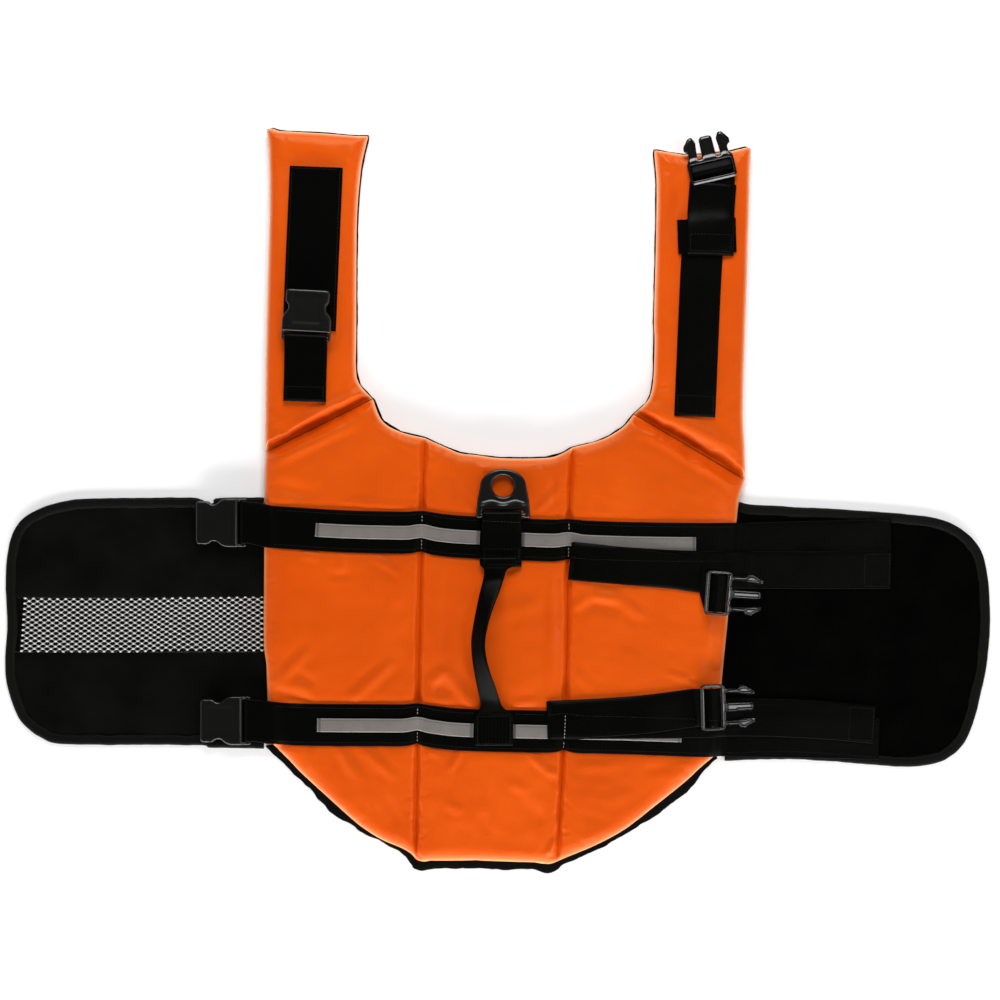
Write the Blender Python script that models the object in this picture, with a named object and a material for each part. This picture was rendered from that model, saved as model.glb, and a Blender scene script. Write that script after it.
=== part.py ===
"""Dog life jacket, unbuckled and laid flat on its lining.

Frame: +X runs from the wing with the net strip to the plain wing, +Y toward the
two neck arms, +Z up. The origin lies on the surface, under the jacket's middle.
Every size and table below is in millimetres; the meshes are made in metres.
"""
import math
from collections import namedtuple

import bmesh
import bpy
from mathutils import Matrix, Vector
from mathutils.bvhtree import BVHTree

MM = 0.001

# ---------------------------------------------------------------- driving sizes
GAP = 0.3                   # clear space that neighbouring pieces keep
LINING_THICK = 2.0
WING_THICK = 2.2            # two layers of cloth
NET_THICK = 1.4
BINDING_WIDTH = 9.0
BINDING_THICK = 3.4
WING_TUCK = 5.5             # how far a wing's root reaches under the foam body
FOAM_DEPTH = 12.0           # depth of a chamber over its base
SEWN_DEPTH = 2.5            # depth left where a chamber is stitched down
EDGE_ROLL = 20.0            # way in from a seam to the chamber's full depth
CROWN = 1.2                 # extra swell in the middle of a chamber

WEBBING_WIDTH = 38.0
WEBBING_THICK = 1.5
STRAP_WIDTH = 33.0          # the two belly straps
NECK_STRAP_WIDTH = 36.0
TAPE_WIDTH = 12.2
TAPE_THICK = 1.0
HOOK_WIDTH = 45.0
HOOK_THICK = 2.0
STATION_STEP = 8.0          # spacing of a strip's sections
STRIP_STIFFNESS = 0.25      # how much a strip may dip in one step
SUPPORT_ROWS = 6            # rows of feelers under two steps of a strip
SUPPORT_SPACING = 4.0       # spacing of the feelers across it
ROD_STEPS = 6               # sections round half a turn of webbing

SLACK = 0.35                # clear space between a bar and the webbing round it

BASE = LINING_THICK + GAP   # where the foam chambers start

PARTS = "dog_life_jacket"
CUTTERS = "cutters"

# ------------------------------------------------- pattern edges, columns x and y
LEFT_SEAM = ((-64.8, 56.7), (-67.0, -10.0), (-71.0, -179.0), (-72.9, -320.5))
RIGHT_SEAM = ((68.4, 50.4), (64.8, -12.6), (62.1, -170.0), (54.0, -322.0))
LEFT_SIDE = ((-208.8, 43.8), (-209.7, 14.0), (-208.0, -100.0), (-206.1, -224.0))
RIGHT_SIDE = ((222.3, 18.9), (217.5, 1.0), (216.5, -13.0), (205.5, -107.0),
              (200.0, -161.0), (197.0, -228.0))
LEFT_CREASE = ((-208.8, 43.8), (-112.0, 92.0))
RIGHT_CREASE = ((123.3, 78.3), (222.3, 18.9))
NECK_LEFT = ((-112.0, 92.0), (-100.8, 73.8), (-87.3, 63.0), (-64.8, 56.7))
NECK_MIDDLE = ((-64.8, 56.7), (-46.8, 48.6), (-33.0, 43.0), (-18.0, 41.4),
               (46.0, 41.4), (58.0, 46.0), (68.4, 50.4))
NECK_RIGHT = ((68.4, 50.4), (88.2, 54.0), (101.7, 59.4), (115.2, 68.4), (123.3, 78.3))
TAIL_LEFT = ((-206.1, -224.0), (-188.0, -230.0), (-155.0, -261.0), (-128.0, -285.0),
             (-101.0, -303.0), (-72.9, -320.5))
TAIL_MIDDLE = ((-72.9, -320.5), (-60.0, -318.6), (34.0, -320.4), (54.0, -322.0))
TAIL_RIGHT = ((54.0, -322.0), (88.0, -307.0), (115.0, -291.0), (142.0, -271.0),
              (169.0, -248.0), (183.0, -236.0), (197.0, -228.0))
LEFT_ARM_OUTER = ((-207.9, 335.0), (-204.3, 271.0), (-206.1, 208.0), (-207.9, 136.0),
                  (-208.8, 43.8))
LEFT_ARM_INNER = ((-117.0, 328.5), (-120.6, 298.0), (-123.3, 253.0), (-126.0, 181.0),
                  (-126.9, 154.0), (-126.0, 118.0), (-112.0, 92.0))
LEFT_ARM_TOP = ((-207.9, 335.0), (-160.0, 332.5), (-117.0, 328.5))
RIGHT_ARM_INNER = ((142.2, 316.5), (142.2, 208.0), (140.6, 150.0), (140.4, 118.0),
                   (135.9, 100.0), (123.3, 78.3))
RIGHT_ARM_OUTER = ((227.7, 317.5), (225.9, 271.0), (224.1, 208.0), (222.0, 150.0),
                   (219.8, 82.0), (220.5, 46.0), (222.3, 18.9))
RIGHT_ARM_TOP = ((142.2, 316.5), (185.0, 315.0), (227.7, 317.5))
LEFT_WING = ((-200.0, 3.2), (-211.0, 3.2), (-368.0, 3.2), (-392.0, -0.5), (-414.0, -8.0),
             (-430.0, -19.5), (-439.0, -38.0), (-442.8, -70.0), (-442.5, -110.0),
             (-443.2, -148.0), (-440.0, -172.0), (-429.0, -197.5), (-410.0, -213.0),
             (-386.0, -219.6), (-276.0, -220.0), (-247.0, -222.5), (-211.0, -221.4),
             (-200.0, -221.0))
RIGHT_WING = ((206.0, 0.5), (219.2, -0.9), (237.0, -3.6), (309.0, -7.2), (363.0, -10.8),
              (399.0, -16.0), (418.0, -25.0), (434.0, -42.0), (441.0, -66.0),
              (443.2, -100.0), (441.5, -134.0), (437.4, -161.0), (431.0, -188.0),
              (421.0, -215.0), (408.0, -228.6), (390.0, -237.0), (363.0, -239.4),
              (309.0, -235.0), (272.0, -232.3), (215.0, -232.2), (205.0, -231.5))
NET_TOP = -88.0             # the left wing's net strip runs between these two lines
NET_BOTTOM = -136.5

UPPER_BAND = ((356.0, -35.5), (300.0, -36.5), (217.0, -38.5), (130.0, -38.0),
              (65.0, -36.0), (34.0, -35.0), (-33.0, -32.0), (-64.0, -29.0),
              (-97.0, -28.3), (-141.0, -27.0), (-206.0, -23.0))
LOWER_BAND = ((345.0, -214.5), (300.0, -213.5), (217.0, -212.0), (128.0, -208.7),
              (47.0, -207.0), (-33.0, -205.0), (-71.0, -201.5), (-168.0, -200.7),
              (-206.0, -199.0))


def look(name, colour, roughness, metallic=0.0):
    """The kind of stuff that a piece is made of."""
    return {"name": name, "colour": colour, "roughness": roughness, "metallic": metallic}


ORANGE_CLOTH = look("orange_oxford", (0.70, 0.085, 0.008), 0.6)
BLACK_CLOTH = look("black_cloth", (0.006, 0.006, 0.006), 0.85)
SILVER_NET = look("silver_net", (0.42, 0.41, 0.40), 0.55)
BLACK_WEBBING = look("black_webbing", (0.008, 0.008, 0.008), 0.75)
REFLECTIVE_TAPE = look("reflective_tape", (0.34, 0.33, 0.32), 0.4)
HOOK_TAPE = look("hook_tape", (0.007, 0.007, 0.007), 0.95)
BLACK_PLASTIC = look("black_plastic", (0.005, 0.005, 0.005), 0.3)


# ------------------------------------------------------------- scene and helpers
for old in list(bpy.data.objects):
    bpy.data.objects.remove(old, do_unlink=True)

for group in (PARTS, CUTTERS):
    bpy.context.scene.collection.children.link(bpy.data.collections.new(group))

resting = []                # every finished piece that a later one may lie on


def dress(obj, stuff):
    """Give a piece a material of its own."""
    skin = bpy.data.materials.new(f"{obj.name}_{stuff['name']}")
    skin.use_nodes = True
    shader = skin.node_tree.nodes["Principled BSDF"]
    shader.inputs["Base Color"].default_value = (*stuff["colour"], 1.0)
    shader.inputs["Roughness"].default_value = stuff["roughness"]
    shader.inputs["Metallic"].default_value = stuff["metallic"]
    obj.data.materials.clear()
    obj.data.materials.append(skin)


def from_bmesh(name, bm, group=PARTS):
    """An object from a bmesh drawn in millimetres."""
    bmesh.ops.recalc_face_normals(bm, faces=bm.faces)
    bm.transform(Matrix.Scale(MM, 4))
    mesh = bpy.data.meshes.new(name)
    bm.to_mesh(mesh)
    bm.free()
    obj = bpy.data.objects.new(name, mesh)
    bpy.data.collections[group].objects.link(obj)
    return obj


def place(obj, location=(0.0, 0.0, 0.0), turn=Matrix.Identity(3)):
    """Set a piece down and let later pieces lie on it."""
    spot = Matrix.Translation(Vector(location) * MM)
    obj.matrix_world = spot @ turn.to_4x4()
    bpy.context.view_layer.update()
    tree = BVHTree.FromObject(obj, bpy.context.evaluated_depsgraph_get())
    resting.append((tree, obj.matrix_world.inverted()))
    return obj


def surface_height(x, y):
    """Top of whatever has been laid at a point in plan."""
    start = Vector((x, y, 200.0)) * MM
    top = 0.0
    for tree, inward in resting:
        down = inward.to_3x3() @ Vector((0.0, 0.0, -1.0))
        hit = tree.ray_cast(inward @ start, down)
        if hit[0] is not None:
            top = max(top, (inward.inverted() @ hit[0]).z / MM)
    return top


def smooth(points, spans=4):
    """A curve through a table's points."""
    points = [Vector(p) for p in points]
    last = len(points) - 1
    curve = []
    for index in range(last):
        a = points[max(index - 1, 0)]
        b = points[index]
        c = points[index + 1]
        d = points[min(index + 2, last)]
        for part in range(spans):
            t = part / spans
            curve.append(0.5 * (2 * b + (c - a) * t + (2 * a - 5 * b + 4 * c - d) * t ** 2
                                + (3 * b - a - 3 * c + d) * t ** 3))
    curve.append(points[-1])
    return curve


def at_share(points, share):
    """The point at a share of a line's length."""
    lengths = [(b - a).length for a, b in zip(points, points[1:])]
    left = share * sum(lengths)
    for a, b, length in zip(points, points[1:], lengths):
        if left <= length:
            return a.lerp(b, left / length)
        left -= length
    return points[-1].copy()


def resample(points, step):
    """Evenly spaced points along a line, no further apart than a step."""
    length = sum((b - a).length for a, b in zip(points, points[1:]))
    count = max(1, math.ceil(length / step))
    return [at_share(points, index / count) for index in range(count + 1)]


def sideways(points, distance):
    """A line moved to the right of its own direction."""
    moved = []
    for index, point in enumerate(points):
        ahead = points[min(index + 1, len(points) - 1)]
        behind = points[max(index - 1, 0)]
        run = (ahead - behind).normalized()
        moved.append(point + Vector((run.y, -run.x)) * distance)
    return moved


def distance_to(point, outline):
    """Way from a point to the nearest place on a closed outline."""
    nearest = math.inf
    for a, b in zip(outline, outline[1:] + outline[:1]):
        run = b - a
        reach = max(0.0, min(1.0, (point - a).dot(run) / max(run.length_squared, 1e-9)))
        nearest = min(nearest, (point - a - run * reach).length)
    return nearest


def plate(name, outlines, z_low, z_high, group=PARTS):
    """A flat piece cut to one or more outlines; an outline inside another is a hole."""
    drawing = bpy.data.curves.new(name + "_drawing", "CURVE")
    drawing.dimensions = "2D"
    drawing.fill_mode = "BOTH"
    drawing.extrude = (z_high - z_low) / 2 * MM
    for outline in outlines:
        spline = drawing.splines.new("POLY")
        spline.points.add(len(outline) - 1)
        for corner, point in zip(spline.points, outline):
            corner.co = (point[0] * MM, point[1] * MM, 0.0, 1.0)
        spline.use_cyclic_u = True
    sketch = bpy.data.objects.new(name + "_sketch", drawing)
    bpy.data.collections[group].objects.link(sketch)
    solid = bpy.data.meshes.new_from_object(
        sketch.evaluated_get(bpy.context.evaluated_depsgraph_get()))
    bpy.data.objects.remove(sketch, do_unlink=True)
    bm = bmesh.new()
    bm.from_mesh(solid)
    bpy.data.meshes.remove(solid)
    bmesh.ops.remove_doubles(bm, verts=bm.verts, dist=0.00001)
    bm.transform(Matrix.Scale(1 / MM, 4))
    bmesh.ops.translate(bm, verts=bm.verts, vec=(0.0, 0.0, (z_low + z_high) / 2))
    return from_bmesh(name, bm, group)


def block(name, low, high):
    """A cutter with its two corners given."""
    bm = bmesh.new()
    bmesh.ops.create_cube(bm, size=1.0)
    low = Vector(low)
    high = Vector(high)
    bmesh.ops.scale(bm, vec=high - low, verts=bm.verts)
    bmesh.ops.translate(bm, vec=(low + high) / 2, verts=bm.verts)
    return hide(from_bmesh(name, bm, CUTTERS))


def rod(name, radius, start, end, group=CUTTERS):
    """A round bar between two points."""
    start = Vector(start)
    end = Vector(end)
    bm = bmesh.new()
    bmesh.ops.create_cone(bm, cap_ends=True, segments=12, radius1=radius, radius2=radius,
                          depth=(end - start).length)
    bm.transform(Matrix.Translation((start + end) / 2)
                 @ (end - start).to_track_quat("Z", "Y").to_matrix().to_4x4())
    return hide(from_bmesh(name, bm, group))


def hide(cutter):
    cutter.hide_render = True
    cutter.display_type = "WIRE"
    return cutter


def combine(obj, tool, operation):
    """Cut an object with a tool, or weld the tool to it."""
    step = obj.modifiers.new(tool.name, "BOOLEAN")
    step.operation = operation
    step.object = tool
    tool.parent = obj


# ------------------------------------------------------------------ foam chambers
def foam_depth(inset):
    """Depth of a chamber at a distance in from its stitches."""
    roll = min(inset / EDGE_ROLL, 1.0)
    return SEWN_DEPTH + (FOAM_DEPTH - SEWN_DEPTH) * math.sqrt(1.0 - (1.0 - roll) ** 2)


def eased(index, count):
    """Shares that crowd toward both ends, where the foam rolls down to its seams."""
    return (1.0 - math.cos(math.pi * index / count)) / 2


def chamber(name, top, bottom, left, right, columns, rows, shift):
    """A foam slab sewn into cloth, drawn between four pattern edges."""
    top, bottom, left, right = ([Vector(p) for p in edge]
                                for edge in (top, bottom, left, right))

    def pattern_point(u, v):
        across = at_share(top, u).lerp(at_share(bottom, u), v)
        down = at_share(left, v).lerp(at_share(right, v), u)
        corner = top[0].lerp(top[-1], u).lerp(bottom[0].lerp(bottom[-1], u), v)
        return across + down - corner + Vector(shift)

    grid = [[pattern_point(eased(i, columns), eased(j, rows)) for i in range(columns + 1)]
            for j in range(rows + 1)]
    rim = (grid[0] + [row[-1] for row in grid[1:]] + grid[-1][-2::-1]
           + [row[0] for row in grid[-2:0:-1]])
    bm = bmesh.new()
    verts = []
    for j, row in enumerate(grid):
        verts.append([])
        for i, point in enumerate(row):
            swell = CROWN * (math.sin(math.pi * eased(i, columns))
                             * math.sin(math.pi * eased(j, rows)))
            z = BASE + foam_depth(distance_to(point, rim)) + swell
            verts[-1].append(bm.verts.new((point.x, point.y, z)))
    for upper, lower in zip(verts, verts[1:]):
        for i in range(columns):
            bm.faces.new((upper[i], lower[i], lower[i + 1], upper[i + 1]))
    border = [edge for edge in bm.edges if edge.is_boundary]
    wall = bmesh.ops.extrude_edge_only(bm, edges=border)["geom"]
    for vert in (item for item in wall if isinstance(item, bmesh.types.BMVert)):
        vert.co.z = BASE
    floor_edges = [edge for edge in bm.edges if edge.is_boundary]
    bmesh.ops.contextual_create(bm, geom=floor_edges)
    obj = from_bmesh(name, bm)
    dress(obj, ORANGE_CLOTH)
    return obj


# ------------------------------------------------------------------------- lining
Edge = namedtuple("Edge", "points shows")


def lining_outline():
    """Counter-clockwise round the jacket, each edge with the lining it shows."""
    tucked = WING_TUCK + GAP + 0.1
    left_side = smooth(LEFT_SIDE)
    right_side = smooth(RIGHT_SIDE)[::-1]
    edges = (
        Edge(LEFT_ARM_TOP[::-1], 1.5),
        Edge(LEFT_ARM_OUTER, -1.5),
        Edge([p for p in left_side if p.y > 6.0], -1.5),
        Edge([p for p in left_side if p.y < 3.5], -tucked),
        Edge(TAIL_LEFT, 8.5),
        Edge(TAIL_MIDDLE, 12.0),
        Edge(TAIL_RIGHT[:-1], 8.5),
        Edge(((191.0, -230.5), (195.5, -228.0)), 3.0),
        Edge([p for p in right_side if -226.0 < p.y < 0.0], -tucked),
        Edge([p for p in right_side if p.y > 3.0], -1.5),
        Edge(RIGHT_ARM_OUTER[::-1], -1.5),
        Edge(RIGHT_ARM_TOP[::-1], 1.5),
        Edge(RIGHT_ARM_INNER, 1.5),
        Edge(NECK_RIGHT[::-1], 1.8),
        Edge(NECK_MIDDLE[::-1], 1.8),
        Edge(NECK_LEFT[::-1], 1.8),
        Edge(LEFT_ARM_INNER[::-1], 2.0),
    )
    outline = []
    for edge in edges:
        outline += sideways([Vector(p) for p in edge.points], edge.shows)
    return outline


lining = plate("lining", [lining_outline()], 0.0, LINING_THICK)
dress(lining, BLACK_CLOTH)
place(lining)


# -------------------------------------------------------------------------- wings
def between(outline, y_low, y_high):
    """The part of an outline between two level lines."""
    for limit, side in ((y_low, 1.0), (y_high, -1.0)):
        kept = []
        for a, b in zip(outline, outline[1:] + outline[:1]):
            inside_a = (a.y - limit) * side >= 0.0
            inside_b = (b.y - limit) * side >= 0.0
            if inside_a:
                kept.append(a)
            if inside_a != inside_b:
                kept.append(a.lerp(b, (limit - a.y) / (b.y - a.y)))
        outline = kept
    return outline


def binding(name, edge, thick):
    """Folded tape round a wing's free edge, rounded on top."""
    profile = ((0.0, 0.0), (0.0, 0.6), (0.15, 1.0), (0.85, 1.0), (1.0, 0.75), (1.0, 0.0))
    lines = [sideways(edge, -share * BINDING_WIDTH) for share, _ in profile]
    bm = bmesh.new()
    rings = [[bm.verts.new((line[k].x, line[k].y, level * thick))
              for line, (_, level) in zip(lines, profile)] for k in range(len(edge))]
    for ring, following in zip(rings, rings[1:]):
        for k in range(len(profile)):
            after = (k + 1) % len(profile)
            bm.faces.new((ring[k], ring[after], following[after], following[k]))
    bm.faces.new(rings[0])
    bm.faces.new(rings[-1][::-1])
    obj = from_bmesh(name, bm)
    dress(obj, BLACK_CLOTH)
    place(obj)


def beside_body(point):
    """Whether a point of a wing's edge is clear of the foam and the lining's border."""
    if point.x < 0.0:
        return point.x < -210.7
    return point.x > (219.1 if point.y > -100.0 else 205.2)


# Both edges run counter-clockwise, with the cloth on their left.
left_edge = smooth(LEFT_WING, 3)
right_edge = smooth(RIGHT_WING, 3)[::-1]
binding("wing_binding_left", [p for p in left_edge if beside_body(p)], BINDING_THICK)
binding("wing_binding_right", [p for p in right_edge if beside_body(p)], BINDING_THICK)


def wing_outline(edge, side, tuck):
    """A wing's cloth inside its binding, with its root tucked under the foam."""
    cloth = [p for p in sideways(edge, -BINDING_WIDTH - 2 * GAP) if beside_body(p)]
    low, high = sorted((cloth[0].y, cloth[-1].y))
    root = [p + Vector((tuck, 0.0)) for p in side if low < p.y < high]
    return cloth + root


left_cloth = wing_outline(left_edge, smooth(LEFT_SIDE)[::-1], WING_TUCK)
for name, low, high, thick, stuff in (
        ("wing_cloth_left_upper", NET_TOP + GAP, 50.0, WING_THICK, BLACK_CLOTH),
        ("wing_net_strip_left", NET_BOTTOM, NET_TOP, NET_THICK, SILVER_NET),
        ("wing_cloth_left_lower", -300.0, NET_BOTTOM - GAP, WING_THICK, BLACK_CLOTH)):
    piece = plate(name, [between(left_cloth, low, high)], 0.0, thick)
    dress(piece, stuff)
    place(piece)

right_cloth = wing_outline(right_edge, smooth(RIGHT_SIDE), -WING_TUCK)
right_wing = plate("wing_cloth_right", [right_cloth], 0.0, WING_THICK)
dress(right_wing, BLACK_CLOTH)
place(right_wing)

# ---------------------------------------------------------- the five foam chambers
place(chamber("foam_back_middle", smooth(NECK_MIDDLE), TAIL_MIDDLE, smooth(LEFT_SEAM),
              smooth(RIGHT_SEAM), 12, 20, (0.0, 0.0)))
place(chamber("foam_back_left", [*LEFT_CREASE[:1], *smooth(NECK_LEFT)], smooth(TAIL_LEFT),
              smooth(LEFT_SIDE), smooth(LEFT_SEAM), 13, 20, (-0.3, 0.0)))
place(chamber("foam_back_right", [*smooth(NECK_RIGHT), *RIGHT_CREASE[1:]],
              smooth(TAIL_RIGHT), smooth(RIGHT_SEAM), smooth(RIGHT_SIDE), 13, 20,
              (0.3, 0.0)))
place(chamber("foam_neck_arm_left", LEFT_ARM_TOP, LEFT_CREASE, smooth(LEFT_ARM_OUTER),
              smooth(LEFT_ARM_INNER), 9, 18, (-0.3, 0.35)))
place(chamber("foam_neck_arm_right", RIGHT_ARM_TOP, RIGHT_CREASE, smooth(RIGHT_ARM_INNER),
              smooth(RIGHT_ARM_OUTER), 9, 18, (0.3, 0.35)))


# ------------------------------------------------------------- webbing and strips
def strip(name, stuff, middle, across, width, thick):
    """A length of webbing: flat sections set along its middle line."""
    bm = bmesh.new()
    rings = []
    for index, centre in enumerate(middle):
        ahead = middle[min(index + 1, len(middle) - 1)]
        behind = middle[max(index - 1, 0)]
        forward = (ahead - behind).normalized()
        side = across[index] * width / 2
        up = forward.cross(across[index]).normalized() * thick / 2
        rings.append([bm.verts.new(centre + side * s + up * t)
                      for s, t in ((-1, -1), (1, -1), (1, 1), (-1, 1))])
    for ring, following in zip(rings, rings[1:]):
        for k in range(4):
            after = (k + 1) % 4
            bm.faces.new((ring[k], ring[after], following[after], following[k]))
    bm.faces.new(rings[0])
    bm.faces.new(rings[-1][::-1])
    obj = from_bmesh(name, bm)
    dress(obj, stuff)
    return place(obj)


def support(start, end, width):
    """The highest point under a stretch of strip between two places in plan."""
    run = end - start
    side = Vector((-run.y, run.x)).normalized() * width / 2
    count = max(6, math.ceil(width / SUPPORT_SPACING))
    lengthwise = [k / SUPPORT_ROWS for k in range(SUPPORT_ROWS + 1)]
    crosswise = [2 * k / count - 1 for k in range(count + 1)]
    return max(surface_height(*(start + run * s + side * t))
               for s in lengthwise for t in crosswise)


def laid(line, width, thick, step=STATION_STEP):
    """Middle points and side directions of a strip laid along a line in plan."""
    centres = resample([Vector(p) for p in line], step)
    heights = []
    runs = []
    for index in range(len(centres)):
        ahead = centres[min(index + 1, len(centres) - 1)]
        behind = centres[max(index - 1, 0)]
        runs.append((ahead - behind).normalized())
        heights.append(support(behind, ahead, width))
    for _ in range(12):
        for index in range(1, len(heights) - 1):
            bridge = (heights[index - 1] + heights[index + 1]) / 2 - STRIP_STIFFNESS
            heights[index] = max(heights[index], bridge)
    middle = [Vector((c.x, c.y, h + GAP + thick / 2)) for c, h in zip(centres, heights)]
    across = [Vector((-run.y, run.x, 0.0)) for run in runs]
    return middle, across


def round_bar(centre, heading, radius):
    """Middle points of webbing that comes in over a bar and goes back under it."""
    turns = [math.pi * k / ROD_STEPS for k in range(ROD_STEPS + 1)]
    return [centre + heading * radius * math.sin(a) + Vector((0, 0, radius * math.cos(a)))
            for a in turns]


# -------------------------------------------------- side-release buckles: sockets
SOCKET_LENGTH = 43.0        # from the webbing bar to the mouth
SOCKET_HALF_WIDTH = 22.0
SOCKET_HALF_DEPTH = 4.3
BAR_RADIUS = 2.2
SLOT_WALL = 6.5             # from the bar's middle to the socket's closed end
LOOP_RADIUS = BAR_RADIUS + SLACK + WEBBING_THICK / 2

Cut = namedtuple("Cut", "name low high")
SOCKET_CUTS = (
    Cut("over_bar", (-5.0, -30.0, 3.1), (5.5, 30.0, 6.0)),
    Cut("under_bar", (-5.0, -30.0, -6.0), (5.5, 30.0, -3.1)),
    Cut("mouth", (13.0, -15.2, -2.7), (50.0, 15.2, 2.7)),
    Cut("windows", (23.0, -30.0, -2.7), (33.0, 30.0, 2.7)),
)


def both_halves(half):
    """A closed outline from its +Y half, in order round the shape."""
    return [Vector(p) for p in half] + [Vector((x, -y)) for x, y in reversed(half)]


def facing(heading, nose_down=0.0):
    """Turn of a hard piece: its +X toward a heading, tipped down at that end."""
    return (Matrix.Rotation(math.radians(heading), 3, "Z")
            @ Matrix.Rotation(math.radians(nose_down), 3, "Y"))


def socket(name, bar):
    """Hollow half of a buckle. Its origin is on its webbing bar; the mouth faces +X."""
    half = ((SOCKET_LENGTH, 17.5), (41.0, 19.5), (32.0, 19.5), (28.5, 16.8), (24.5, 16.8),
            (20.0, 20.5), (16.0, SOCKET_HALF_WIDTH), (-1.0, SOCKET_HALF_WIDTH),
            (-3.0, 21.0), (-3.0, 19.3), (SLOT_WALL, 19.3))
    body = plate(name, [both_halves(half)], -SOCKET_HALF_DEPTH, SOCKET_HALF_DEPTH)
    for cutter in SOCKET_CUTS:
        combine(body, block(f"{name}_{cutter.name}", cutter.low, cutter.high), "DIFFERENCE")
    combine(body, rod(f"{name}_bar", BAR_RADIUS, (0, -20.6, 0), (0, 20.6, 0)), "UNION")
    dress(body, BLACK_PLASTIC)
    return place(body, bar[:3], facing(bar.heading))


BarSpot = namedtuple("BarSpot", "x y z heading")
UPPER_BAR = BarSpot(-228.0, -19.6, 8.1, 180.0)
LOWER_BAR = BarSpot(-224.0, -197.6, 8.1, 180.0)
BAND_STEP = 5.0
LEG_LENGTH = 9.0            # level webbing just before a bar
LEG_RISE = 20.0             # how far back the webbing starts to level out
UNDER_LEG_END = -212.3      # the turned-back end is sewn in beside the foam here


def band(name, line, bar):
    """Wide webbing sewn across the back; its end turns round a socket's bar."""
    leg_top = bar.z + LOOP_RADIUS
    leg_end = Vector((bar.x + LEG_LENGTH, bar.y))
    middle, across = laid(smooth(line) + [leg_end], WEBBING_WIDTH, WEBBING_THICK, BAND_STEP)
    for point in middle[:-1]:
        if point.x < line[-1][0] + LEG_RISE:
            point.z = max(point.z, leg_top)
    middle[-1].z = leg_top
    loop = round_bar(Vector(bar[:3]), Vector((-1.0, 0.0, 0.0)), LOOP_RADIUS)
    middle += [*loop, Vector((UNDER_LEG_END, bar.y, bar.z - LOOP_RADIUS))]
    across += [Vector((0.0, -1.0, 0.0))] * (len(loop) + 1)
    return strip(name, BLACK_WEBBING, middle, across, WEBBING_WIDTH, WEBBING_THICK)


band("band_upper", UPPER_BAND, UPPER_BAR)
band("band_lower", LOWER_BAND, LOWER_BAR)
socket("buckle_socket_upper", UPPER_BAR)
socket("buckle_socket_lower", LOWER_BAR)

# ----------------------------------------------------------------- reflective tape
TapeRun = namedtuple("TapeRun", "name band x_from x_to")
for run in (TapeRun("tape_upper_left", UPPER_BAND, -163.0, -14.4),
            TapeRun("tape_upper_right", UPPER_BAND, 23.0, 179.0),
            TapeRun("tape_lower_left", LOWER_BAND, -162.0, -21.0),
            TapeRun("tape_lower_right", LOWER_BAND, 16.0, 165.6)):
    line = [p for p in resample(smooth(run.band), 3.0)[::-1] if run.x_from < p.x < run.x_to]
    strip(run.name, REFLECTIVE_TAPE, *laid(line, TAPE_WIDTH, TAPE_THICK), TAPE_WIDTH, TAPE_THICK)


# ------------------------------------------------ side-release buckles: the plugs
FRAME_LENGTH = 28.0         # a full-size plug's ladder frame, and its prongs
PRONG_LENGTH = 28.0
PLUG_WIDTH = 42.0
PLUG_THICK = 5.0
SLOT_HALF = 18.6            # half of the ladder frame's clear width
LADDER_BAR = (13.0, 1.7)    # the middle bar's place along and above the plug's base
LADDER_BAR_RADIUS = 1.4
FOLD_CLEAR = 0.7            # from a back run's end to the fold that carries it on
# The webbing's middle line through the ladder frame; columns along and above.
THREADED = ((-2.0, 1.05), (5.2, 1.05), (9.5, 3.2), (13.0, 4.25), (16.5, 3.4), (20.0, 1.6))

PlugSize = namedtuple("PlugSize", "frame prongs spread")
BELLY_PLUG = PlugSize(1.0, 1.0, 0.94)
SHORT_PLUG = PlugSize(0.79, 0.68, 1.0)


def plug_reach(size, along=FRAME_LENGTH + PRONG_LENGTH):
    """A place along a full-size plug, moved to where this size has it."""
    return (min(along, FRAME_LENGTH) * size.frame
            + max(along - FRAME_LENGTH, 0.0) * size.prongs)


def threaded_line(size, spot, turn):
    """The webbing's middle line through a plug's frame."""
    return [spot + turn @ Vector((plug_reach(size, along), 0.0, above))
            for along, above in THREADED]


def plug(name, spot, turn, size):
    """Pronged half of a buckle. Its origin is under the outer edge of its frame."""
    half = ((0.0, 18.5), (2.5, 21.0), (24.0, 21.0), (28.0, 19.2), (28.0, 16.8),
            (40.0, 16.2), (42.5, 19.4), (46.5, 19.4), (56.0, 13.6), (56.0, 11.6),
            (50.0, 10.8), (41.0, 12.2), (28.0, 13.0), (28.0, 4.2), (53.0, 3.6), (55.0, 2.2))
    slot = ((4.5, SLOT_HALF), (22.5, SLOT_HALF), (22.5, -SLOT_HALF), (4.5, -SLOT_HALF))
    half, slot = ([(plug_reach(size, x), y * size.spread) for x, y in points]
                  for points in (half, slot))
    slot_half = SLOT_HALF * size.spread
    body = plate(name, [both_halves(half), slot], 0.0, PLUG_THICK)
    combine(body, block(f"{name}_under_bar", (-1.0, -slot_half, -1.0),
                        (plug_reach(size, 4.7), slot_half, 2.2)), "DIFFERENCE")
    along, above = plug_reach(size, LADDER_BAR[0]), LADDER_BAR[1]
    reach = slot_half + 0.8
    combine(body, rod(f"{name}_ladder", LADDER_BAR_RADIUS, (along, -reach, above),
                      (along, reach, above)), "UNION")
    dress(body, BLACK_PLASTIC)
    return place(body, spot, turn)


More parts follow.
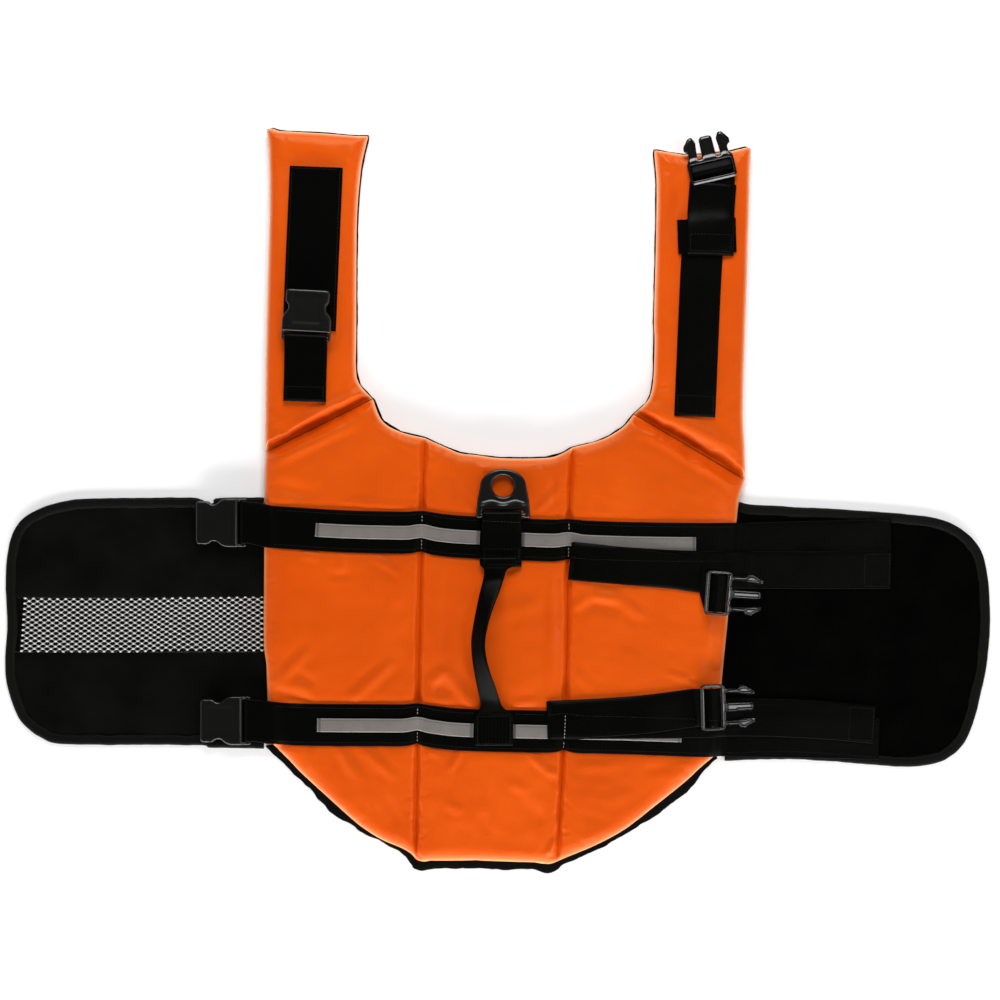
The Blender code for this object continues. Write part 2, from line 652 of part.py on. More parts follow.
def resting_place(x, y, heading, nose_down, length, width):
    """Lowest spot for a flat-bottomed hard piece that clears everything laid so far."""
    run = Vector((math.cos(math.radians(heading)), math.sin(math.radians(heading))))
    side = Vector((-run.y, run.x))
    fall = math.tan(math.radians(nose_down))
    top = 0.0
    for step in range(15):
        reach = length * step / 14
        for share in (-0.5, -0.4, -0.25, 0.0, 0.25, 0.4, 0.5):
            spot = Vector((x, y)) + run * reach + side * width * share
            top = max(top, surface_height(spot.x, spot.y) + reach * fall)
    return Vector((x, y, top + GAP))


def folded_strap(name, line, fold_line, plug_spot, heading, nose_down):
    """A long strap folded in a Z: out along the band, back under itself to its plug."""
    back, back_across = laid(line, STRAP_WIDTH, WEBBING_THICK)
    strip(name + "_back_run", BLACK_WEBBING, back, back_across, STRAP_WIDTH, WEBBING_THICK)
    spot = resting_place(*plug_spot, heading, nose_down, plug_reach(BELLY_PLUG),
                         PLUG_WIDTH * BELLY_PLUG.spread)
    turn = facing(heading, nose_down)
    threaded = threaded_line(BELLY_PLUG, spot, turn)
    line = [*fold_line, (threaded[0].x, threaded[0].y)]
    front, across = laid(smooth(line), STRAP_WIDTH, WEBBING_THICK)
    radius = (front[0].z - back[-1].z) / 2
    fold = round_bar(Vector((front[0].x - FOLD_CLEAR, front[0].y, front[0].z - radius)),
                     Vector((-1.0, 0.0, 0.0)), radius)[::-1]
    fold_across = [(-back_across[-1]).lerp(across[0], k / len(fold)) for k in range(len(fold))]
    plug_side = turn @ Vector((0.0, 1.0, 0.0))
    strip(name + "_front_run", BLACK_WEBBING, fold + front[:-1] + threaded,
          fold_across + across[:-1] + [plug_side] * len(threaded), STRAP_WIDTH,
          WEBBING_THICK)
    plug(name.replace("strap", "buckle_plug"), spot, turn, BELLY_PLUG)


folded_strap("strap_upper", ((356.0, -62.6), (240.0, -62.3), (150.0, -60.5), (67.5, -54.2)),
             ((67.5, -53.8), (105.0, -57.0), (140.0, -61.5), (161.0, -68.0), (171.5, -76.5)),
             (185.1, -81.2), -4.0, 7.0)
folded_strap("strap_lower", ((341.0, -202.0), (244.0, -195.5), (47.0, -196.5)),
             ((47.0, -196.2),), (181.1, -184.8), 1.5, 7.0)


# --------------------------------------------------------- leash ring and its tab
RING_BAR_RADIUS = 1.8
RING_HALF_THICK = 2.1
RING_SPOT = (5.5, -12.6)
RING_DROOP = 4.0
EYE_CENTRE = 26.0           # from the ring's bar to the middle of its eye
EYE_RADIUS = 9.9
TAB_WIDTH = 34.0


def arc(centre, across_x, across_y, first, last, count):
    """Points of an oval arc between two angles in degrees."""
    angles = [math.radians(first + (last - first) * k / count) for k in range(count + 1)]
    return [Vector((centre + across_x * math.cos(a), across_y * math.sin(a))) for a in angles]


def leash_ring(name, spot):
    half = [*arc(EYE_CENTRE, 15.4, 20.6, 8.0, 90.0, 7), (13.0, 23.2), (2.0, 24.2),
            (-1.6, 24.2), (-2.6, 23.2), (-2.6, 18.9), (6.8, 18.9)]
    half = [tuple(p) for p in half]
    eye = arc(EYE_CENTRE, EYE_RADIUS, EYE_RADIUS, 0.0, 342.0, 19)
    body = plate(name, [both_halves(half), eye], -RING_HALF_THICK, RING_HALF_THICK)
    combine(body, rod(f"{name}_bar", RING_BAR_RADIUS, (0, -19.8, 0), (0, 19.8, 0)), "UNION")
    dress(body, BLACK_PLASTIC)
    return place(body, spot, facing(90.0, RING_DROOP))


def doubled_end(name, line, width, bar, heading, bar_radius, back_to):
    """Webbing laid up to a bar, turned round it and brought back over itself."""
    radius = bar_radius + SLACK + WEBBING_THICK / 2
    middle, across = laid(line, width, WEBBING_THICK, step=6.0)
    away = Vector((math.cos(math.radians(heading)), math.sin(math.radians(heading)), 0.0))
    loop = round_bar(bar, away, radius)[::-1]
    loop.append(bar - away * 4.0 + Vector((0.0, 0.0, radius - 0.4)))
    lift = Vector((0.0, 0.0, WEBBING_THICK + GAP + 0.05))
    back = [p + lift for p in middle[::-1] if 13.0 < (bar - p).dot(away) < back_to]
    side = Vector((-away.y, away.x, 0.0))
    strip(name, BLACK_WEBBING, middle + loop + back,
          across + [side] * len(loop) + [across[0]] * len(back), width, WEBBING_THICK)


tab_x, ring_y = RING_SPOT[0] - 1.0, RING_SPOT[1]
tab_line = ((tab_x, ring_y - 46.6), (tab_x, ring_y - 9.0))
tab_rest = support(Vector((tab_x, ring_y - 48.0)), Vector((tab_x, ring_y)), TAB_WIDTH)
ring_bar = Vector((*RING_SPOT, tab_rest + GAP + RING_BAR_RADIUS + SLACK + WEBBING_THICK))
doubled_end("ring_tab", tab_line, TAB_WIDTH, Vector((tab_x, ring_y, ring_bar.z)), 90.0,
            RING_BAR_RADIUS, 60.0)
leash_ring("leash_ring", ring_bar)

# -------------------------------------------------------------------- grab handle
Stretch = namedtuple("Stretch", "y x lift width thick lean")
GRAB_HANDLE = (
    Stretch(-60.6, -1.4, 0.0, 19.0, 3.6, 0.0),
    Stretch(-70.0, -3.2, 1.5, 18.5, 3.8, 6.0),
    Stretch(-82.0, -6.8, 5.5, 18.0, 4.0, 18.0),
    Stretch(-95.0, -10.8, 10.0, 17.0, 4.0, 32.0),
    Stretch(-110.0, -14.5, 13.5, 17.0, 4.0, 43.0),
    Stretch(-125.0, -16.6, 15.0, 17.0, 4.0, 47.0),
    Stretch(-140.0, -15.4, 14.0, 17.0, 4.0, 43.0),
    Stretch(-154.0, -12.4, 10.5, 17.0, 4.0, 32.0),
    Stretch(-167.0, -9.0, 5.5, 17.5, 4.0, 18.0),
    Stretch(-177.0, -6.6, 2.0, 18.0, 3.8, 6.0),
    Stretch(-184.0, -5.0, 0.6, 20.0, 3.0, 0.0),
    Stretch(-189.5, -3.0, 0.0, 30.0, 2.0, 0.0),
    Stretch(-193.0, -2.7, 0.0, 34.0, 2.0, 0.0),
    Stretch(-219.0, -2.7, 0.0, 34.0, 2.0, 0.0),
)


def grab_handle(name, rows):
    """Webbing folded round a core; it stands off the back and leans to one side."""
    corner = 0.28           # share of the width that is rounded away at each edge
    section = ((-1.0, 0.0), (-1.0 + corner, -1.0), (1.0 - corner, -1.0),
               (1.0, 0.0), (1.0 - corner, 1.0), (-1.0 + corner, 1.0))
    bm = bmesh.new()
    rings = []
    for row in rows:
        lean = math.radians(row.lean)
        flat_half = row.width / 2
        rest = support(Vector((row.x, row.y - 5.5)), Vector((row.x, row.y + 5.5)), row.width)
        height = (rest + GAP + flat_half * math.sin(lean) + row.thick / 2 * math.cos(lean)
                  + row.lift)
        side = Vector((math.cos(lean), 0.0, math.sin(lean))) * flat_half
        up = Vector((-math.sin(lean), 0.0, math.cos(lean))) * row.thick / 2
        centre = Vector((row.x, row.y, height))
        rings.append([bm.verts.new(centre + side * s + up * t) for s, t in section])
    for ring, following in zip(rings, rings[1:]):
        for k in range(len(section)):
            after = (k + 1) % len(section)
            bm.faces.new((ring[k], ring[after], following[after], following[k]))
    bm.faces.new(rings[0])
    bm.faces.new(rings[-1][::-1])
    obj = from_bmesh(name, bm)
    dress(obj, BLACK_WEBBING)
    return place(obj)


grab_handle("grab_handle", GRAB_HANDLE)

# ------------------------------------------------------ closure of the left arm
HOOK_LINE = ((-163.4, 298.8), (-169.4, 153.0))
NECK_SOCKET = (-170.5, 145.5)
NECK_SOCKET_HEADING = 87.0

strip("hook_strip_left", HOOK_TAPE, *laid(HOOK_LINE, HOOK_WIDTH, HOOK_THICK), HOOK_WIDTH,
      HOOK_THICK)
neck_bar = resting_place(*NECK_SOCKET, NECK_SOCKET_HEADING, 0.0, SOCKET_LENGTH,
                         2 * SOCKET_HALF_WIDTH)
neck_bar.z += SOCKET_HALF_DEPTH
doubled_end("neck_webbing_left", ((-172.3, 89.0), (-171.0, 136.5)), WEBBING_WIDTH, neck_bar,
            NECK_SOCKET_HEADING, BAR_RADIUS, 20.0)
socket("buckle_socket_neck", BarSpot(*neck_bar, NECK_SOCKET_HEADING))

# ----------------------------------------------------- closure of the right arm
NECK_PLUG = (194.8, 286.4)
NECK_PLUG_HEADING = 103.0
NECK_LINE = ((177.8, 75.6), (184.5, 222.0), (190.8, 250.0), (193.9, 272.0))
PATCH_LINE = ((162.0, 236.5), (214.0, 238.5))
PATCH_WIDTH = 31.0
TAIL_LINE = ((193.6, 284.6), (191.6, 255.0), (190.9, 220.0))
TAIL_WIDTH = 42.0

plug_turn = facing(NECK_PLUG_HEADING)
middle, across = laid(smooth(NECK_LINE), NECK_STRAP_WIDTH, WEBBING_THICK)
spot = resting_place(*NECK_PLUG, NECK_PLUG_HEADING, 0.0, plug_reach(SHORT_PLUG), PLUG_WIDTH)
threaded = threaded_line(SHORT_PLUG, spot, plug_turn)
strip("neck_webbing_right", BLACK_WEBBING, middle + threaded,
      across + [plug_turn @ Vector((0.0, 1.0, 0.0))] * len(threaded), NECK_STRAP_WIDTH,
      WEBBING_THICK)
plug("buckle_plug_neck", spot, plug_turn, SHORT_PLUG)
strip("hook_patch_right", HOOK_TAPE, *laid(PATCH_LINE, PATCH_WIDTH, HOOK_THICK), PATCH_WIDTH,
      HOOK_THICK)
strip("neck_strap_tail", BLACK_WEBBING, *laid(TAIL_LINE, TAIL_WIDTH, WEBBING_THICK),
      TAIL_WIDTH, WEBBING_THICK)
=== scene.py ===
"""Looks of a dog life jacket, unbuckled and laid flat on its lining.

Tables and sizes are in millimetres, in the same frame as the solids; meshes are made
in metres. Each section makes one piece, or one kind of piece, from the table up.
"""
import math

import bpy
import numpy as np
from mathutils import Matrix, Vector
from mathutils.bvhtree import BVHTree
from mathutils.geometry import delaunay_2d_cdt


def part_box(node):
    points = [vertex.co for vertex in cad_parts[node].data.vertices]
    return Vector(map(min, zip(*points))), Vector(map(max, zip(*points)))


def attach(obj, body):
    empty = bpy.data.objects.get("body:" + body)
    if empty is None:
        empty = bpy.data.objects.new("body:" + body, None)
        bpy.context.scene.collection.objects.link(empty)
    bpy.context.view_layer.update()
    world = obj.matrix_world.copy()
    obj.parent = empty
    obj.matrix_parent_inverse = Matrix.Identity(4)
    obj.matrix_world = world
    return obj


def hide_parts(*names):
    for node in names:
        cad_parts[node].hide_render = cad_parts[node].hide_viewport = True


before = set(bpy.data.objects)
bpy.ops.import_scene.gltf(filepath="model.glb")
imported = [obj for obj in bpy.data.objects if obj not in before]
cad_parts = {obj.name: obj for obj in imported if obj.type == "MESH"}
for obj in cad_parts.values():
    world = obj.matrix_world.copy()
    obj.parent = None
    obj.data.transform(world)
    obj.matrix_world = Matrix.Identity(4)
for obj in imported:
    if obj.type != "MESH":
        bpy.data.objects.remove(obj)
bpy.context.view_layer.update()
MM = 0.001

# ------------------------------------------------------------------------ studio
# A camera straight above the middle of the jacket, a white table, low soft panels all
# round that every rolled edge catches, and a small high one that shines in the plugs.
CAMERA_SPOT = (2.7, 0.9, 1500.0)
SHARP_LEVEL = 9.0           # height over the table at which the picture is to scale
PICTURE_WIDTH = 900.0
SENSOR = 36.0

camera = bpy.data.objects.new("camera", bpy.data.cameras.new("camera"))
camera.data.sensor_width = SENSOR
camera.data.lens = SENSOR * (CAMERA_SPOT[2] - SHARP_LEVEL) / PICTURE_WIDTH
camera.location = Vector(CAMERA_SPOT) * MM
bpy.context.scene.collection.objects.link(camera)
bpy.context.scene.camera = camera
bpy.context.scene.view_settings.view_transform = "Standard"

LIGHT_PANELS = (            # bearing in degrees, height, distance, width, depth, power in watts
    (90.0, 950.0, 1350.0, 1100.0, 800.0, 29.5),
    (270.0, 400.0, 1400.0, 1800.0, 420.0, 34.0),
    (0.0, 700.0, 1500.0, 1000.0, 1000.0, 3.8),
    (180.0, 700.0, 1500.0, 1000.0, 1000.0, 3.9),
    (224.0, 260.0, 1400.0, 700.0, 220.0, 6.0),
    (316.0, 260.0, 1400.0, 700.0, 220.0, 6.0),
    (341.0, 1500.0, 840.0, 350.0, 350.0, 3.5),
)
for number, (bearing, height, distance, width, depth, power) in enumerate(LIGHT_PANELS):
    lamp = bpy.data.lights.new(f"panel_{number}", "AREA")
    lamp.shape = "RECTANGLE"
    lamp.size = width * MM
    lamp.size_y = depth * MM
    lamp.energy = power
    panel = bpy.data.objects.new(lamp.name, lamp)
    spot = Vector((math.cos(math.radians(bearing)) * distance,
                   math.sin(math.radians(bearing)) * distance, height)) * MM
    panel.location = spot
    panel.rotation_euler = spot.to_track_quat("Z", "Y").to_euler()
    bpy.context.scene.collection.objects.link(panel)

world = bpy.data.worlds.new("studio")
world.use_nodes = True
world.node_tree.nodes["Background"].inputs["Color"].default_value = (1.0, 1.0, 1.0, 1.0)
world.node_tree.nodes["Background"].inputs["Strength"].default_value = 0.06
bpy.context.scene.world = world


class Wire:
    """An output in a shader. Arithmetic on it adds Math nodes."""

    def __init__(self, skin, socket):
        self.skin = skin
        self.socket = socket

    def math(self, operation, *others):
        return self.skin.node("Math", {"operation": operation},
                              dict(enumerate((self, *others))))

    def __add__(self, other):
        return self.math("ADD", other)

    def __mul__(self, other):
        return self.math("MULTIPLY", other)

    def __sub__(self, other):
        return self.math("SUBTRACT", other)

    def __rsub__(self, other):
        return self * -1.0 + other

    def __gt__(self, limit):
        return self.math("GREATER_THAN", limit)


class Skin:
    """A procedural material. Plain values go straight onto its surface shader."""

    def __init__(self, name, values):
        self.material = bpy.data.materials.new(name)
        self.material.use_nodes = True
        self.tree = self.material.node_tree
        self.shader = self.tree.nodes["Principled BSDF"]
        for socket, value in values.items():
            self.shader.inputs[socket].default_value = value

    def node(self, kind, settings=(), sockets=(), out=0):
        """A node of any kind: its settings first, then its sockets' values or wires."""
        made = self.tree.nodes.new("ShaderNode" + kind)
        for key, value in dict(settings).items():
            if key == "stops":
                elements = made.color_ramp.elements
                while len(elements) < len(value):
                    elements.new(1.0)
                for element, (position, shade) in zip(elements, value):
                    element.position = position
                    element.color = shade
            else:
                setattr(made, key, value)
        for key, value in dict(sockets).items():
            self.join(made.inputs[key], value)
        return Wire(self, made.outputs[out])

    def join(self, socket, value):
        if isinstance(value, Wire):
            self.tree.links.new(value.socket, socket)
        else:
            socket.default_value = value

    def set(self, socket, value):
        self.join(self.shader.inputs[socket], value)

    def place(self, name=None):
        """Millimetres along x, y and z; or along and across a strip of webbing."""
        if name:
            where = self.node("Attribute", {"attribute_name": name}, out="Vector")
        else:
            where = self.node("TexCoord", out="Object")
        scaled = self.node("VectorMath", {"operation": "SCALE"},
                           {0: where, "Scale": 1.0 if name else 1000.0})
        return scaled, [self.node("SeparateXYZ", (), {0: scaled}, out=k) for k in range(3)]

    def mottle(self, where, size, detail=2.0):
        """Soft blotches of about a size in millimetres, from 0 to 1."""
        return self.node("TexNoise", (), {"Vector": where, "Scale": 1.0 / size,
                                          "Detail": detail})

    def shade(self, low, high, share):
        """A colour between two, by a share."""
        return self.node("Mix", {"data_type": "RGBA"},
                         {0: share, 6: (*low, 1.0), 7: (*high, 1.0)}, out=2)

    def relief(self, height):
        """Fine surface relief, its height in millimetres."""
        self.set("Normal", self.node("Bump", (), {"Height": height, "Strength": 1.0,
                                                  "Distance": MM}))


table_skin = Skin("white_table", {"Roughness": 0.9, "Specular IOR Level": 0.0})
where, _ = table_skin.place()
table_skin.set("Base Color", table_skin.shade((0.95, 0.95, 0.95), (0.97, 0.97, 0.97),
                                              table_skin.mottle(where, 400.0)))
TABLE_HALF = 6.0            # in metres, as is the table's drop below the jacket
TABLE_DROP = 0.0004
table_mesh = bpy.data.meshes.new("table")
table_mesh.from_pydata([(x * TABLE_HALF, y * TABLE_HALF, -TABLE_DROP)
                        for x, y in ((-1, -1), (1, -1), (1, 1), (-1, 1))], [],
                       [(0, 1, 2, 3)])
table_mesh.materials.append(table_skin.material)
table = bpy.data.objects.new("table", table_mesh)
bpy.context.scene.collection.objects.link(table)

# ------------------------------------------------------------------------ lining
# One panel of matt black mesh-faced cloth under the back and both arms. It is cut a
# little larger than the orange shell, so its raw edge shows, most of all at the tail.
LINING_THICK = 2.0
WING_TUCK = 5.5
GAP = 0.3
LEFT_SEAM = ((-64.8, 56.7), (-67.0, -10.0), (-71.0, -179.0), (-72.9, -323.0))
RIGHT_SEAM = ((68.4, 48.6), (64.8, -12.6), (62.1, -170.0), (54.0, -325.0))
LEFT_SIDE = ((-208.8, 43.8), (-209.7, 14.0), (-210.2, -60.0), (-210.4, -126.0),
             (-208.2, -148.0), (-207.2, -180.0), (-205.0, -213.0), (-198.0, -223.0))
RIGHT_SIDE = ((223.6, 18.9), (218.0, 1.0), (216.8, -13.0), (208.3, -107.0),
              (203.0, -161.0), (198.0, -228.0))
LEFT_CREASE = ((-208.8, 43.8), (-112.0, 92.0))
RIGHT_CREASE = ((123.3, 78.3), (223.6, 18.9))
NECK_LEFT = ((-112.0, 92.0), (-103.6, 72.4), (-87.3, 62.4), (-64.8, 56.7))
NECK_MIDDLE = ((-64.8, 56.7), (-46.8, 48.6), (-33.0, 43.0), (-18.0, 41.4), (4.0, 38.6),
               (44.0, 38.8), (58.0, 42.6), (68.4, 48.6))
NECK_RIGHT = ((68.4, 48.6), (88.2, 53.4), (101.7, 58.8), (115.2, 68.0), (123.3, 78.3))
TAIL_LEFT = ((-198.0, -223.0), (-188.0, -232.7), (-177.0, -244.4), (-155.0, -264.8),
             (-128.0, -289.0), (-114.0, -299.2), (-101.0, -306.6), (-87.0, -312.4),
             (-78.0, -317.6), (-72.9, -323.0))
TAIL_MIDDLE = ((-72.9, -323.0), (-67.0, -325.0), (-60.0, -324.0), (-20.0, -323.7),
               (34.0, -325.6), (46.0, -327.2), (54.0, -325.0))
TAIL_RIGHT = ((54.0, -325.0), (62.0, -321.4), (88.0, -310.6), (115.0, -296.0),
              (142.0, -275.2), (169.0, -253.6), (183.0, -240.6), (198.0, -228.0))
LEFT_ARM_OUTER = ((-207.4, 333.6), (-205.6, 318.0), (-204.6, 271.0), (-206.1, 208.0),
                  (-207.9, 136.0), (-208.8, 43.8))
LEFT_ARM_INNER = ((-116.0, 328.4), (-119.6, 314.0), (-122.6, 298.0), (-125.8, 262.0),
                  (-126.6, 222.0), (-126.8, 154.0), (-127.0, 118.0), (-123.4, 104.5),
                  (-112.0, 92.0))
LEFT_ARM_TOP = ((-207.4, 333.6), (-203.0, 335.4), (-196.0, 333.0), (-160.0, 331.2),
                (-126.5, 328.6), (-116.0, 328.4))
RIGHT_ARM_INNER = ((141.6, 315.6), (142.2, 307.0), (143.8, 284.0), (143.0, 226.0),
                   (141.4, 163.0), (142.0, 145.0), (141.0, 112.0), (138.6, 97.0),
                   (134.4, 88.6), (123.3, 78.3))
RIGHT_ARM_OUTER = ((229.0, 316.0), (227.6, 300.0), (227.0, 271.0), (225.2, 208.0),
                   (223.2, 150.0), (221.4, 82.0), (223.0, 46.0), (223.6, 18.9))
RIGHT_ARM_TOP = ((141.6, 315.6), (145.0, 315.4), (151.0, 314.4), (166.0, 311.8),
                 (184.0, 311.8), (211.0, 314.8), (224.6, 318.2), (229.0, 316.0))


def smooth(points, spans=6):
    """A curve through a table's points, as an array."""
    points = as_points(points)
    if len(points) < 3:
        return points
    padded = np.vstack((points[:1], points, points[-1:]))
    curve = []
    for a, b, c, d in zip(padded, padded[1:], padded[2:], padded[3:]):
        for t in np.arange(spans) / spans:
            curve.append(0.5 * (2 * b + (c - a) * t + (2 * a - 5 * b + 4 * c - d) * t ** 2
                                + (3 * b - a - 3 * c + d) * t ** 3))
    return np.array([*curve, points[-1]])


def as_points(line):
    """A line's places as one array of floats."""
    return np.array([tuple(p) for p in line], float)


def lengths_along(line):
    """How far along a line each of its points lies."""
    steps = np.linalg.norm(np.diff(line, axis=0), axis=-1)
    return np.concatenate(([0.0], np.cumsum(steps)))


def at_shares(line, shares):
    """The points at shares of a line's length."""
    run = lengths_along(line)
    return np.stack([np.interp(np.asarray(shares) * run[-1], run, line[:, k])
                     for k in range(line.shape[1])], axis=-1)


def evenly(line, step):
    """Evenly spaced points along a line, no further apart than a step."""
    count = max(2, math.ceil(lengths_along(line)[-1] / step))
    return at_shares(line, np.linspace(0.0, 1.0, count + 1))


def evenly_round(outline, step):
    """Evenly spaced points round a closed outline."""
    return evenly(np.vstack((outline, outline[:1])), step)[:-1]


def sideways(line, distance, closed=False):
    """A line in plan moved to the right of its own direction."""
    if closed:
        run = np.roll(line, -1, axis=0) - np.roll(line, 1, axis=0)
    else:
        run = np.gradient(line, axis=0)
    run = run / np.maximum(np.linalg.norm(run, axis=1, keepdims=True), 1e-9)
    return line + np.stack((run[:, 1], -run[:, 0]), axis=-1) * np.reshape(distance, (-1, 1))


def ripples(x, y, wave, seed, count=10):
    """Unevenness of about -1 to 1: waves of about one length, from all sides."""
    draw = np.random.default_rng(seed)
    total = 0.0
    for _ in range(count):
        bearing = draw.uniform(0.0, 2.0 * math.pi)
        length = wave * draw.uniform(0.7, 1.5)
        phase = draw.uniform(0.0, 2.0 * math.pi)
        total = total + np.sin((x * math.cos(bearing) + y * math.sin(bearing))
                               * 2.0 * math.pi / length + phase)
    return total / math.sqrt(count)


# How much lining shows past the shell along the tail: x and width.
LEFT_SHOWS = ((-198.0, 8.2), (-188.0, 7.0), (-177.0, 6.6), (-163.0, 6.2), (-157.0, 8.6),
              (-139.0, 9.4), (-126.0, 5.4), (-112.0, 3.8), (-87.0, 4.2), (-76.0, 7.4))
MIDDLE_SHOWS = ((-73.0, 9.6), (-62.0, 9.2), (-20.0, 8.8), (20.0, 8.0), (38.0, 8.4),
                (46.0, 10.2), (54.0, 8.6))
RIGHT_SHOWS = ((56.0, 6.4), (66.0, 5.8), (76.0, 6.0), (93.0, 6.0), (106.0, 5.2),
               (128.0, 6.8), (138.0, 9.0), (150.0, 9.2), (173.0, 7.8), (183.0, 5.4),
               (196.0, 4.6))

laid_pieces = []            # what later pieces can lie on: a tree and its plan box


def piece(name, points, faces, skin, body="jacket", thread=None, ground=True):
    """A mesh in millimetres, given a material and a body to ride on."""
    points = np.asarray(points, float).reshape(-1, 3)
    mesh = bpy.data.meshes.new(name)
    mesh.from_pydata((points * MM).tolist(), [], faces)
    mesh.validate()
    if thread is not None:
        layer = mesh.attributes.new("thread", "FLOAT_VECTOR", "POINT")
        layer.data.foreach_set("vector", np.asarray(thread, np.float32).ravel())
    mesh.materials.append(skin.material)
    mesh.shade_smooth()
    obj = bpy.data.objects.new(name, mesh)
    bpy.context.scene.collection.objects.link(obj)
    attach(obj, body)
    if ground:
        rest_on(obj)
    return obj


def rest_on(obj):
    """Let later pieces lie on this one."""
    corners = np.array([v.co for v in obj.data.vertices]) / MM
    tree = BVHTree.FromPolygons([tuple(p) for p in corners],
                                [tuple(f.vertices) for f in obj.data.polygons])
    laid_pieces.append((tree, corners.min(axis=0), corners.max(axis=0)))


def ground_height(plan):
    """Height of whatever lies under each point in plan."""
    flat = np.asarray(plan, float).reshape(-1, 2)
    top = np.zeros(len(flat))
    down = Vector((0.0, 0.0, -1.0))
    for tree, low, high in laid_pieces:
        inside = ((flat >= low[:2]) & (flat <= high[:2])).all(axis=1)
        for index in np.nonzero(inside)[0]:
            hit = tree.ray_cast(Vector((*flat[index], 100.0)), down)[0]
            if hit is not None and hit.z > top[index]:
                top[index] = hit.z
    return top.reshape(np.asarray(plan).shape[:-1])


def lining_outline():
    """Counter-clockwise round the jacket; the second column is the lining that shows."""
    tucked = WING_TUCK + GAP + 0.1
    left_side = smooth(LEFT_SIDE)
    right_side = smooth(RIGHT_SIDE)[::-1]
    edges = (
        (LEFT_ARM_TOP[::-1], 2.7),
        (LEFT_ARM_OUTER, -1.5),
        (left_side[left_side[:, 1] > 6.0], -1.5),
        (left_side[left_side[:, 1] < 3.5], -tucked),
        (((-210.0, -221.6), (-204.6, -226.8)), 0.0),
        (TAIL_LEFT, LEFT_SHOWS),
        (TAIL_MIDDLE, MIDDLE_SHOWS),
        (TAIL_RIGHT[:-1], RIGHT_SHOWS),
        (((191.0, -234.0), (197.0, -229.4)), 4.6),
        (right_side[(right_side[:, 1] > -226.0) & (right_side[:, 1] < 0.0)], -tucked),
        (right_side[right_side[:, 1] > 3.0], -1.5),
        (RIGHT_ARM_OUTER[::-1], -1.5),
        (RIGHT_ARM_TOP[::-1], 2.7),
        (RIGHT_ARM_INNER, 0.5),
        (NECK_RIGHT[::-1], 0.9),
        (NECK_MIDDLE[::-1], 1.2),
        (NECK_LEFT[::-1], 1.3),
        (LEFT_ARM_INNER[::-1], 0.6),
    )
    placed = []
    for points, shows in edges:
        points = as_points(points)
        if isinstance(shows, tuple):
            points = evenly(points, 3.0)
            shows = np.interp(points[:, 0], *zip(*shows))
        placed.append(sideways(points, shows))
    return np.vstack(placed)


def mesh_cloth(name, shade_low, shade_high, pitch, depth, specular):
    """Black cloth with a fine face of small lozenges."""
    skin = Skin(name, {"Roughness": 0.7, "Specular IOR Level": specular})
    where, (x, y, _) = skin.place()
    one = (x * (math.pi / pitch) + y * (math.pi / (0.62 * pitch))).math("SINE")
    two = (x * (math.pi / pitch) - y * (math.pi / (0.62 * pitch))).math("SINE")
    strands = one.math("ABSOLUTE").math("MAXIMUM", two.math("ABSOLUTE"))
    patches = skin.mottle(where, 35.0)
    skin.set("Base Color", skin.shade(shade_low, shade_high, strands * patches))
    skin.relief(strands * depth + skin.mottle(where, 1.1) * 0.05)
    return skin


black_cloth = mesh_cloth("black_cloth", (0.0006, 0.0006, 0.0005), (0.0054, 0.0054, 0.0047),
                         2.4, 0.07, 0.02)


def cloth_plate(name, outline, thick, skin, spacing=6.0, swell=None, rim=1.4):
    """Flat cloth cut to an outline, with a soft edge and an uneven top."""
    inner = sideways(outline, -rim, closed=True)
    count = len(inner)
    low, high = inner.min(axis=0), inner.max(axis=0)
    row_step = spacing * 0.866
    filling = []
    for row, y in enumerate(np.arange(low[1] + row_step, high[1], row_step)):
        shift = spacing * (0.5 if row % 2 else 1.0)
        filling += [(x, y) for x in np.arange(low[0] + shift, high[0], spacing)]
    filling = np.array(filling)
    filling = filling[distance_inside(filling, inner) > spacing * 0.4]
    corners = np.vstack((inner, filling))
    plan, _, triangles, *_ = delaunay_2d_cdt(
        [Vector(p) for p in corners], [(k, (k + 1) % count) for k in range(count)],
        [list(range(count))], 1, 1e-5)
    plan = as_points(plan)
    inset = distance_inside(plan, inner) + rim
    level = thick * np.sqrt(1.0 - (1.0 - np.minimum(inset / (2.0 * rim), 1.0)) ** 2)
    if swell is not None:
        level = level + swell(plan[:, 0], plan[:, 1]) * np.minimum(inset / 8.0, 1.0)
    total = len(plan)
    side_loops = ((0.1, 0.12), (0.0, 0.35), (0.25, 0.62))
    loops = [np.column_stack((sideways(outline, -rim * share, closed=True),
                              np.full(count, thick * height))) for share, height in side_loops]
    points = np.vstack((np.column_stack((plan, level)), np.column_stack((plan, 0.0 * level)),
                        *loops))
    rings = [list(range(total, total + count))]
    rings += [list(range(2 * total + k * count, 2 * total + (k + 1) * count))
              for k in range(len(loops))]
    rings.append(list(range(count)))
    faces = [tuple(face) for face in triangles]
    faces += [tuple(total + k for k in reversed(face)) for face in triangles]
    faces += [(lower[k], lower[(k + 1) % count], upper[(k + 1) % count], upper[k])
              for lower, upper in zip(rings, rings[1:]) for k in range(count)]
    return piece(name, points, faces, skin)


